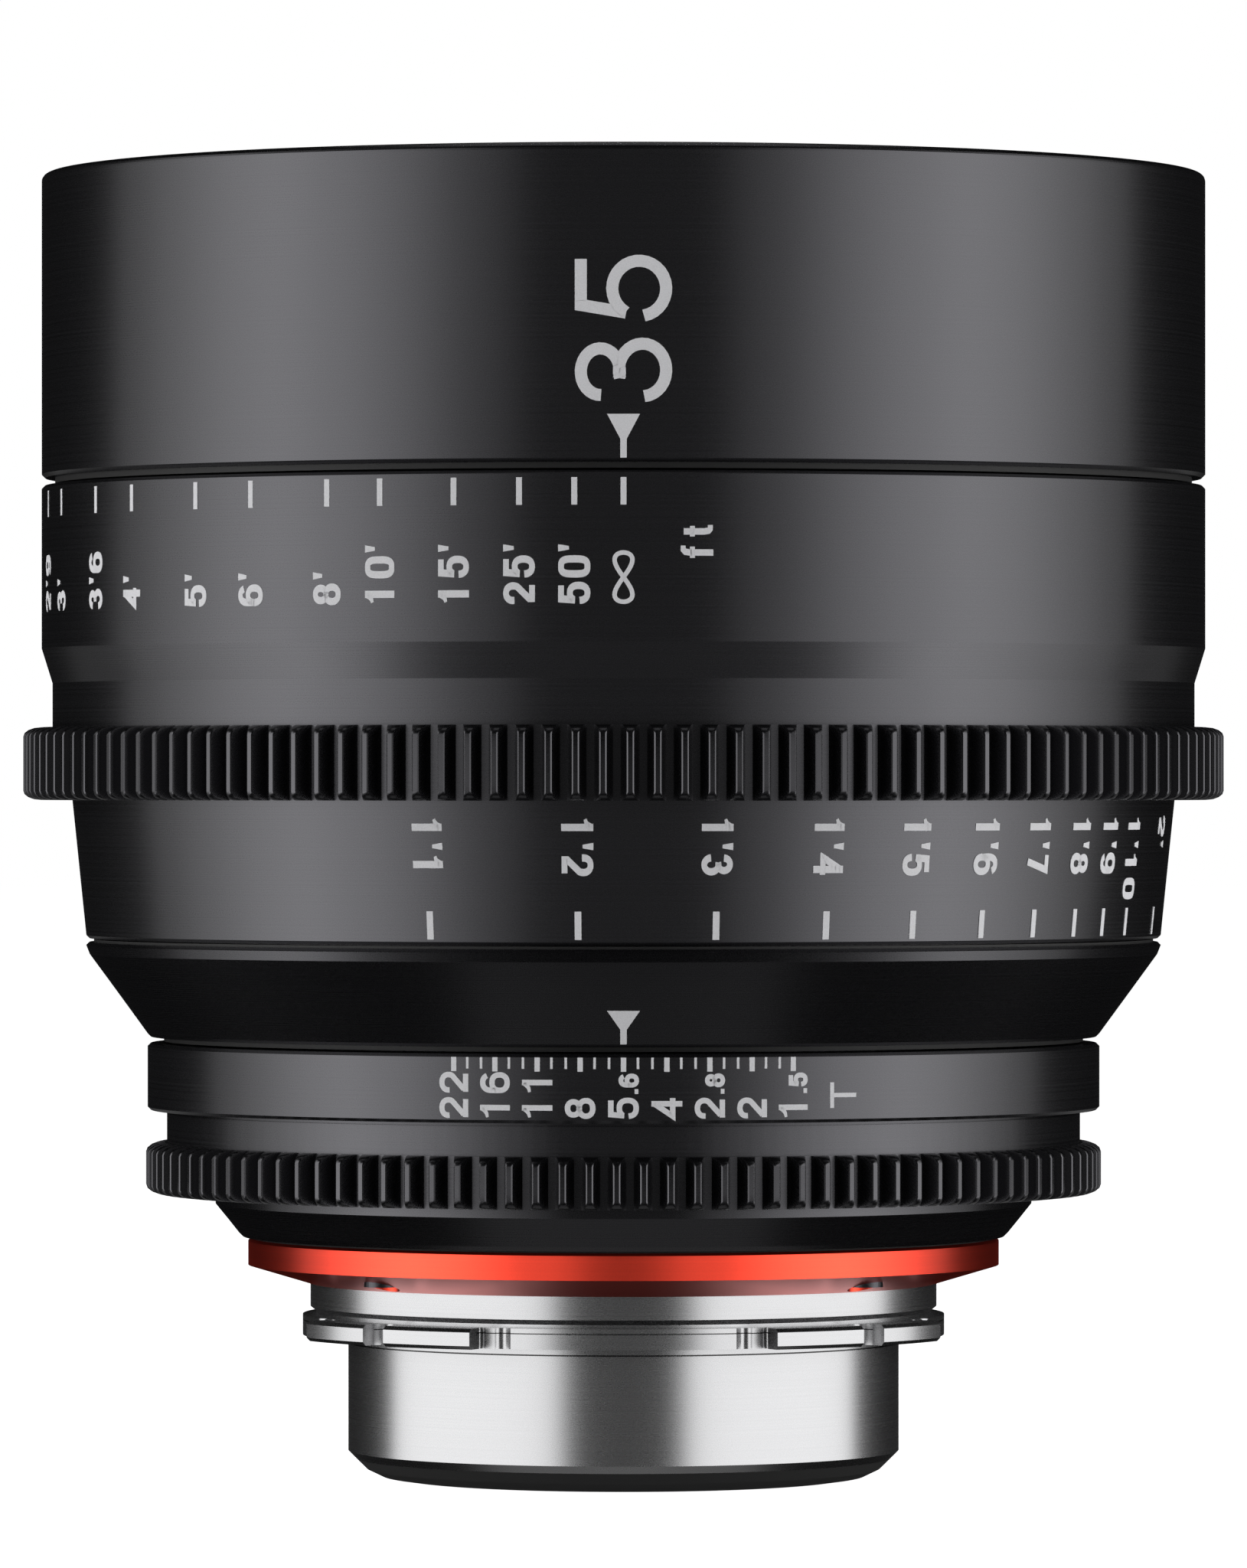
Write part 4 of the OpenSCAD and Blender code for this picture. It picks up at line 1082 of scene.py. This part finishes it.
@dataclass(frozen=True)
class Gear:
    """Drive gear with rounded tooth ends, and the plain rings above it as radii and heights."""

    name: str
    node: str
    body: Body
    teeth: int
    low: float
    high: float
    bore: float
    rings: tuple[Point, ...] = ()
    module: float = 0.8 * MM
    addendum: float = 1.0
    dedendum: float = 1.25
    round_length: float = 0.9 * MM
    round_steps: int = 4
    stub: float = 0.1 * MM
    edge: float = 0.09 * MM
    root_share: float = 0.36
    tip_share: float = 0.12
    plain_shares: Span = (0.8, 0.6)
    weld: float = 0.002 * MM
    smooth: float = math.radians(33.0)

    @property
    def tip(self) -> float:
        """Radius of the teeth's tips."""
        return self.module * (self.teeth + 2 * self.addendum) / 2

    @property
    def root(self) -> float:
        """Radius of the valleys."""
        return self.module * (self.teeth - 2 * self.dedendum) / 2

    def half(self, radius: float) -> float:
        """Half of a tooth's angle at a radius."""
        share = (radius - self.root) / (self.tip - self.root)
        return math.tau / self.teeth * (self.root_share + (self.tip_share - self.root_share) * share)

    def row(self, limit: float, height: float) -> list[Vector]:
        """Points of one sector at a height.

        Args:
            limit: Largest radius there.
            height: Height along the axis.

        Returns:
            The points from one valley's middle to the next.
        """
        foot = self.half(self.root)
        top = min(limit, self.tip)
        if top > self.root:
            shoulder = max(top - self.edge, self.root + self.stub / 2)
            land = self.half(top) - self.edge / top
            side = [(self.root, foot), (shoulder, self.half(shoulder)), (top, land)]
        else:
            side = [(top, foot), *((top, share * foot) for share in self.plain_shares)]
        side.insert(0, (min(top, self.root), math.pi / self.teeth))
        turns = [(radius, -turn) for radius, turn in side] + side[::-1]
        return [Vector((reach * math.cos(turn), reach * math.sin(turn), height)) for reach, turn in turns]

    def levels(self) -> list[Point]:
        """Goes round the section of the gear.

        Returns:
            Largest radius and height of each row, from the bore's foot round to its top.
        """
        depth = self.tip - self.root - self.stub
        bends = [math.pi / 2 * k / self.round_steps for k in range(self.round_steps + 1)]
        ends = [
            (self.tip - depth * (1 - math.cos(bend)), self.round_length * (1 - math.sin(bend)))
            for bend in bends
        ]
        lower = [(limit, self.low + rise) for limit, rise in reversed(ends)]
        upper = [(limit, self.high - rise) for limit, rise in ends]
        top = self.rings[-1][1] if self.rings else self.high
        return [(self.bore, self.low), *lower, *upper, *self.rings, (self.bore, top)]

    def build(self, tree: SectorTree, finish: bpy.types.Material) -> bpy.types.Object:
        """Makes the gear as one plain mesh that stands for its node.

        Args:
            tree: Node tree that closes the ring.
            finish: Finish of the gear.

        Returns:
            The finished piece.
        """
        rows = [self.row(*level) for level in self.levels()]
        count, width = len(rows), len(rows[0])
        faces = []
        for row in range(count):
            near, far = row * width, (row + 1) % count * width
            faces += [(near + k, near + k + 1, far + k + 1, far + k) for k in range(width - 1)]
        mesh = bpy.data.meshes.new(self.name + "_sector")
        mesh.from_pydata([point for row in rows for point in row], [], faces)
        piece = tree.settle(self.name, mesh, {"Count": self.teeth, "Finish": finish})
        face_outwards(piece.data, self.weld)
        piece.data.shade_smooth()
        piece.data.set_sharp_from_angle(angle=self.smooth)
        mount(piece, self.body)
        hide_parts(self.node)
        return piece


def dress(nodes: Iterable[str], finish: bpy.types.Material) -> None:
    """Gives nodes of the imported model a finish.

    Args:
        nodes: Names of the nodes.
        finish: Material for all of them.
    """
    for name in nodes:
        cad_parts[name].material_slots[0].material = finish
        LOG.info("node %s gets %s", name, finish.name)


@dataclass
class FrontBarrel:
    """Fixed front barrel with the focal length and the focus index."""

    rack: FinishRack
    band: Band = Band(83.8 * MM, 57 * MM, 113.5 * MM, 57 * MM)
    focal_start: float = 89.31 * MM
    focal_size: float = 9.05 * MM
    focal_pen: Pen = Pen(1.12 * MM, 1.12 * MM)
    index: Triple = (88.22 * MM, 85.9 * MM, 84.15 * MM)
    index_width: float = 3.06 * MM
    index_stem: float = 0.6 * MM

    def build(self) -> None:
        """Paints the focal length and the index."""
        sheet = MarkSheet("front_barrel_marks", self.band)
        size, pen, signs = self.focal_size, self.focal_pen, LETTERS.round_signs
        sheet.label("35", 0.0, self.focal_start, size, pen, Reading.UPWARD, signs)
        sheet.index(0.0, *self.index, self.index_width, self.index_stem)
        sheet.build(Body.BARREL, self.rack.paint)

    def dress(self) -> None:
        """Finishes the front barrel and what it holds."""
        dress(("front_barrel", "front_retaining_ring", "front_cell", "front_spacer"), self.rack.black)
        dress(("front_baffle",), self.rack.matt)
        dress(("front_element", "second_element", "third_element"), self.rack.glass)
        dress(("front_barrel_screws",), self.rack.dark_steel)
        dress(("front_washer",), self.rack.polymer)


@dataclass
class FocusRing:
    """Focus ring with its two distance scales, gear and cam sleeve."""

    rack: FinishRack
    ticks: TickTree
    sectors: SectorTree
    gear: Gear = Gear(
        "focus_gear_teeth", "focus_gear", Body.FOCUS, 145, 52.33 * MM, 59.43 * MM, 51.15 * MM
    )
    upper: Band = Band(67.13 * MM, 57 * MM, 83.03 * MM, 57 * MM)
    lower: Band = Band(38.83 * MM, 52.65 * MM, 52.33 * MM, 54 * MM)
    size: float = 3.0 * MM
    pen: Pen = Pen(0.68 * MM, 0.54 * MM)
    infinity_size: float = 2.08 * MM
    infinity_pen: Pen = Pen(0.42 * MM, 0.42 * MM)
    upper_start: float = 70.58 * MM
    lower_start: float = 50.83 * MM
    upper_tick: Triple = (79.8 * MM, 82.36 * MM, 0.55 * MM)
    lower_tick: Triple = (39.36 * MM, 42.0 * MM, 0.63 * MM)
    unit_turn: float = -6.85
    unit_start: float = 74.7 * MM
    unit_pen: Pen = Pen(0.60 * MM, 0.46 * MM)
    throw: dict[str, float] = field(
        default_factory=lambda: {
            "∞": 0.0, "50'": 4.6, "25'": 9.8, "15'": 16.1, "10'": 23.5, "8'": 29.1, "6'": 37.9, "5'": 45.1,
            "4'": 55.1, "3'6": 62.3, "3'": 72.0, "2'9": 78.2, "2'": 104.0, "1'10": 114.1, "1'9": 119.9,
            "1'8": 125.7, "1'7": 132.7, "1'6": 140.3, "1'5": 149.1, "1'4": 159.0, "1'3": 170.6, "1'2": 184.6,
            "1'1": 200.0,
        }
    )

    def build(self) -> None:
        """Cuts the gear and paints both scales."""
        self.gear.build(self.sectors, self.rack.black)
        self.scale("upper", self.upper, 0.0, self.upper_start, self.upper_tick, Reading.UPWARD)
        self.scale("lower", self.lower, 180.0, self.lower_start, self.lower_tick, Reading.DOWNWARD)

    def scale(
        self, name: str, band: Band, zero: float, start: float, tick: Triple, reading: Reading
    ) -> None:
        """Paints one distance scale.

        Args:
            name: Which scale it is.
            band: Surface that carries it.
            zero: Angle of the infinity mark, in degrees.
            start: Height where its labels start, in metres.
            tick: Lower end, upper end and width of its ticks.
            reading: Way its labels run.
        """
        sheet = MarkSheet(f"focus_{name}_labels", band)
        for text, throw in self.throw.items():
            far = text == "∞"
            pen, size = (self.infinity_pen, self.infinity_size) if far else (self.pen, self.size)
            sheet.label(text, math.radians(zero - throw), start, size, pen, reading)
        unit = start + reading.value[0] * (self.unit_start - self.upper_start)
        sheet.label("ft", math.radians(zero - self.unit_turn), unit, self.size, self.unit_pen, reading)
        sheet.build(Body.FOCUS, self.rack.paint)
        turns = [math.radians(zero - throw) for throw in self.throw.values()]
        self.ticks.build(f"focus_{name}_ticks", band, turns, *tick, Body.FOCUS, self.rack.paint)

    def dress(self) -> None:
        """Finishes the ring and the focusing group that it drives."""
        black = ("focus_ring_front", "focus_gear", "focus_ring_rear", "focus_cell")
        dress((*black, "focus_spacer", "focus_retaining_ring"), self.rack.black)
        dress(("cam_sleeve",), self.rack.brass)
        dress(("cam_rollers",), self.rack.steel)
        dress(("focus_element_1", "focus_element_2", "focus_element_3"), self.rack.glass)


@dataclass
class IndexCone:
    """Fixed middle of the barrel with the iris index and the second focus index."""

    rack: FinishRack
    band: Band = Band(29.5 * MM, 46.65 * MM, 37.25 * MM, 52.3 * MM)
    iris_index: Triple = (32.68 * MM, 30.9 * MM, 29.5 * MM)
    focus_index: Triple = (34.0 * MM, 35.8 * MM, 37.2 * MM)
    width: float = 3.07 * MM
    stem: float = 0.61 * MM

    def build(self) -> None:
        """Paints both index marks."""
        sheet = MarkSheet("index_cone_marks", self.band)
        sheet.index(0.0, *self.iris_index, self.width, self.stem)
        sheet.index(math.pi, *self.focus_index, self.width, self.stem)
        sheet.build(Body.BARREL, self.rack.paint)

    def dress(self) -> None:
        """Finishes the cone, the main barrel and their joints."""
        dress(("index_cone", "main_barrel"), self.rack.black)
        dress(("barrel_screws",), self.rack.dark_steel)
        dress(("rear_washer", "iris_washer"), self.rack.polymer)


@dataclass
class IrisRing:
    """Iris ring with its stop scale, gear, drive and blades."""

    rack: FinishRack
    ticks: TickTree
    sectors: SectorTree
    gear: Gear = Gear(
        "iris_gear_teeth", "iris_gear", Body.IRIS, 115, 13.85 * MM, 18.85 * MM, 39.1 * MM,
        (
            (44.75 * MM, 18.85 * MM), (44.75 * MM, 21.7 * MM), (44.4 * MM, 21.7 * MM),
            (44.4 * MM, 22.05 * MM), (41.5 * MM, 22.05 * MM), (41.5 * MM, 24.05 * MM),
        ),
    )
    band: Band = Band(22.35 * MM, 46.65 * MM, 28.25 * MM, 46.65 * MM)
    size: float = 2.9 * MM
    pen: Pen = Pen(0.52 * MM, 0.52 * MM)
    part: float = 0.66
    part_pen: Pen = Pen(0.46 * MM, 0.44 * MM)
    start: float = 22.5 * MM
    major: Triple = (26.92 * MM, 28.25 * MM, 0.51 * MM)
    minor: Triple = (27.17 * MM, 28.25 * MM, 0.24 * MM)
    step: float = 5.0
    stops: tuple[str, ...] = ("22", "16", "11", "8", "5.6", "4", "2.8", "2", "1.5")
    letter_turn: float = 26.3
    letter_start: float = 23.42 * MM
    letter_size: float = 2.7 * MM
    letter_pen: Pen = Pen(0.4 * MM, 0.4 * MM)

    def build(self) -> None:
        """Cuts the gear and paints the stop scale."""
        self.gear.build(self.sectors, self.rack.black)
        sheet = MarkSheet("iris_labels", self.band)
        first = -self.step * (len(self.stops) - 1) / 2
        turns = [first + self.step * k for k in range(len(self.stops))]
        for text, turn in zip(self.stops, turns):
            whole, _, rest = text.partition(".")
            start = sheet.label(whole, math.radians(turn), self.start, self.size, self.pen, Reading.UPWARD)
            if rest:
                size = self.size * self.part
                drop = (self.size - size) / 2 / self.band.low_radius
                middle = math.radians(turn) + drop
                sheet.label("." + rest, middle, start, size, self.part_pen, Reading.UPWARD)
        letter = math.radians(self.letter_turn)
        sheet.label("T", letter, self.letter_start, self.letter_size, self.letter_pen, Reading.UPWARD)
        sheet.build(Body.IRIS, self.rack.paint)
        thirds = [turn + self.step * k / 3 for turn in turns[:-1] for k in (1, 2)]
        for name, marks, tick in (("major", turns, self.major), ("minor", thirds, self.minor)):
            marks = [math.radians(mark) for mark in marks]
            self.ticks.build(f"iris_{name}_ticks", self.band, marks, *tick, Body.IRIS, self.rack.paint)

    def dress(self) -> None:
        """Finishes the ring, its drive and the blades."""
        dress(("iris_ring", "iris_gear"), self.rack.black)
        dress(("iris_drive_ring", "iris_base_plate", "iris_retaining_ring"), self.rack.matt)
        dress(("iris_drive_pin",), self.rack.steel)
        dress(("iris_screws",), self.rack.dark_steel)
        dress([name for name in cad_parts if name.startswith("iris_blade_")], self.rack.dark_steel)


@dataclass
class RearMount:
    """Rear barrel, red ring, steel mount and rear glass."""

    rack: FinishRack

    def dress(self) -> None:
        """Finishes the rear end."""
        dress(("rear_barrel", "rear_cell", "rear_spacer", "rear_retaining_ring"), self.rack.black)
        dress(("rear_element_1", "rear_element_2", "rear_element_3"), self.rack.glass)
        dress(("red_mount_ring",), self.rack.red)
        dress(("lens_mount",), self.rack.mount_steel)
        dress(("flange_screws",), self.rack.steel)
        dress(("mount_screws",), self.rack.dark_steel)
        # The shim takes the matt black so that its edge shows as a dark line of painted shade between the
        # rear barrel and the red ring.
        dress(("mount_shim", "rear_baffle"), self.rack.matt)
        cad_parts["red_mount_ring"].visible_glossy = False


@dataclass
class Studio:
    """White table, graded soft boxes on both sides, weak lights from the other sides and the camera.

    A zone holds the front edge and the back edge of a soft box along the view, and its brightness.
    """

    rack: FinishRack
    floor_half: float = 6.0
    box_side: float = 0.6
    box_height: float = 0.9
    box_gap: float = 0.01
    box_zones: tuple[Triple, ...] = (
        (-1.56, 0.262, 0.6),
        (-0.92, 0.117, 0.6),
        (-0.728, 0.005, 0.6),
        (-0.54, -0.084, 0.6),
        (-0.346, -0.195, 0.5),
    )
    steel_zone: Triple = (-1.25, 0.21, 2.4)
    steel_node: str = "lens_mount"
    mouth_height: float = 0.8
    mouth_size: float = 0.03
    mouth_spread: float = math.radians(7.0)
    mouth_glow: float = 6.0
    apron_depth: float = 0.45
    apron_inner: float = 0.5
    apron_outer: float = 2.5
    apron_glow: float = 0.15
    apron_shade: tuple[str, ...] = (
        "index_cone", "rear_barrel", "red_mount_ring", "lens_mount", "rear_baffle",
    )
    top_height: float = 1.3
    top_size: float = 1.0
    top_glow: float = 0.5
    fill_distance: float = 2.2
    fill_size: float = 1.0
    fill_glow: float = 0.12
    red_node: str = "red_mount_ring"
    red_size: float = 2.0
    red_glow: float = 0.75
    bounce_depth: float = 0.3
    bounce_size: float = 0.3
    bounce_glow: float = 0.24
    camera_distance: float = 1.04085
    camera_height: float = 0.05389
    focal: float = 243.6
    sensor: float = 36.0
    clip: Span = (0.05, 50.0)
    ambient: float = 0.003

    def build(self) -> None:
        """Sets the stage, the lights, the world and the camera."""
        self.floor()
        for layer, zone in enumerate(self.box_zones):
            self.boxes("soft_box", self.box_side + layer * self.box_gap, zone, Reach.EXCLUDE)
        self.boxes("steel_box", self.box_side - self.box_gap, self.steel_zone, Reach.INCLUDE)
        top = self.panel("top_light", self.top_size, self.top_size, self.top_glow)
        top.location = (0.0, 0.0, self.top_height)
        self.fill("front_fill", self.fill_size, self.fill_glow)
        self.aim(self.fill("red_fill", self.red_size, self.red_glow), (self.red_node,), Reach.INCLUDE)
        bounce = self.panel("table_bounce", self.bounce_size, self.bounce_size, self.bounce_glow)
        bounce.location = (0.0, 0.0, -self.bounce_depth)
        bounce.rotation_euler = (math.pi, 0.0, 0.0)
        self.mouth()
        self.apron()
        self.world()
        self.camera()

    def fill(self, name: str, size: float, glow: float) -> bpy.types.Object:
        """Stands one panel behind the camera.

        Args:
            name: Name of the light.
            size: Its sides in metres.
            glow: Brightness of its face.

        Returns:
            The light.
        """
        light = self.panel(name, size, size, glow)
        light.location = (0.0, -self.fill_distance, self.camera_height)
        light.rotation_euler = (math.pi / 2, 0.0, 0.0)
        return light

    def mouth(self) -> None:
        """Hangs a narrow light that reaches only into the mouth."""
        light = self.panel("mouth_light", self.mouth_size, self.mouth_size, self.mouth_glow)
        light.data.spread = self.mouth_spread
        light.location = (0.0, 0.0, CAD_BOX[1].z + self.mouth_height)

    def apron(self) -> None:
        """Lets the table round the lens glow from below, in four strips that close a square."""
        run, width = self.apron_outer - self.apron_inner, self.apron_outer + self.apron_inner
        middle = Vector(((self.apron_outer + self.apron_inner) / 2, run / 2, -self.apron_depth))
        for quarter in range(4):
            turn = quarter * math.pi / 2
            strip = self.panel("table_apron", run, width, self.apron_glow)
            strip.rotation_euler = (math.pi, 0.0, turn)
            strip.location = (
                middle.x * math.cos(turn) - middle.y * math.sin(turn),
                middle.x * math.sin(turn) + middle.y * math.cos(turn),
                middle.z,
            )
            self.aim(strip, self.apron_shade, Reach.EXCLUDE)

    def floor(self) -> None:
        """Lays the table just under the lens."""
        low, half = CAD_BOX[0].z, self.floor_half
        corners = [(-half, -half, low), (half, -half, low), (half, half, low), (-half, half, low)]
        mesh = bpy.data.meshes.new("table")
        mesh.from_pydata(corners, [], [(0, 1, 2, 3)])
        mesh.materials.append(self.rack.paper)
        table = bpy.data.objects.new("table", mesh)
        bpy.context.scene.collection.objects.link(table)
        table.visible_glossy = table.visible_diffuse = table.visible_shadow = False

    def boxes(self, name: str, side: float, zone: Triple, reach: Reach) -> None:
        """Stands one tall soft box on each side.

        Args:
            name: Name of the lights.
            side: Distance of the boxes from the axis, in metres.
            zone: Front edge, back edge and brightness of a box.
            reach: Whether the boxes light only the steel mount, or all but that.
        """
        front, back, glow = zone
        for hand in (-1.0, 1.0):
            box = self.panel(name, self.box_height, back - front, glow)
            box.location = (hand * side, (front + back) / 2, self.camera_height)
            box.rotation_euler = (0.0, hand * math.pi / 2, 0.0)
            self.aim(box, (self.steel_node,), reach)

    def aim(self, light: bpy.types.Object, nodes: Iterable[str], reach: Reach) -> None:
        """Limits what a light reaches.

        Args:
            light: Light to limit.
            nodes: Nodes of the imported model.
            reach: Whether it lights only these nodes, or all but these.
        """
        group = bpy.data.collections.new(light.name + "_reach")
        for name in nodes:
            group.objects.link(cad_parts[name])
        for item in group.collection_objects:
            item.light_linking.link_state = reach.value
        light.light_linking.receiver_collection = group

    def panel(self, name: str, width: float, depth: float, glow: float) -> bpy.types.Object:
        """Hangs one soft box that faces down.

        Args:
            name: Name of the light.
            width: Its first side in metres.
            depth: Its second side.
            glow: Brightness of its face.

        Returns:
            The light, not yet placed.
        """
        data = bpy.data.lights.new(name, "AREA")
        data.shape = "RECTANGLE"
        data.size, data.size_y = width, depth
        data.energy = glow * math.pi * width * depth
        light = bpy.data.objects.new(name, data)
        light.visible_camera = False
        bpy.context.scene.collection.objects.link(light)
        return light

    def world(self) -> None:
        """Makes a white backdrop that lights little."""
        world = bpy.data.worlds.new("studio")
        world.use_nodes = True
        bpy.context.scene.world = world
        nodes, link = world.node_tree.nodes, world.node_tree.links.new
        glow, paper = nodes["Background"], nodes.new("ShaderNodeBackground")
        mix, ray = nodes.new("ShaderNodeMixShader"), nodes.new("ShaderNodeLightPath")
        for backdrop, strength in ((glow, self.ambient), (paper, 1.0)):
            backdrop.inputs["Color"].default_value = (1.0, 1.0, 1.0, 1.0)
            backdrop.inputs["Strength"].default_value = strength
        link(ray.outputs["Is Camera Ray"], mix.inputs["Fac"])
        link(glow.outputs[0], mix.inputs[1])
        link(paper.outputs[0], mix.inputs[2])
        link(mix.outputs[0], nodes["World Output"].inputs["Surface"])
        bpy.context.scene.view_settings.view_transform = "Standard"

    def camera(self) -> None:
        """Sets the camera level, in front of the index side."""
        data = bpy.data.cameras.new("camera")
        data.lens, data.sensor_width = self.focal, self.sensor
        data.clip_start, data.clip_end = self.clip
        camera = bpy.data.objects.new("camera", data)
        camera.location = (0.0, -self.camera_distance, self.camera_height)
        camera.rotation_euler = (math.pi / 2, 0.0, 0.0)
        bpy.context.scene.collection.objects.link(camera)
        bpy.context.scene.camera = camera


def main() -> None:
    """Builds and dresses every sub-assembly, then sets the studio."""
    logging.basicConfig(level=logging.INFO)
    rack = FinishRack.stock()
    ticks, sectors = TickTree(), SectorTree()
    front = FrontBarrel(rack)
    focus = FocusRing(rack, ticks, sectors)
    cone = IndexCone(rack)
    iris = IrisRing(rack, ticks, sectors)
    for assembly in (front, focus, cone, iris):
        assembly.build()
        assembly.dress()
    RearMount(rack).dress()
    Studio(rack).build()


if __name__ == "__main__":
    main()
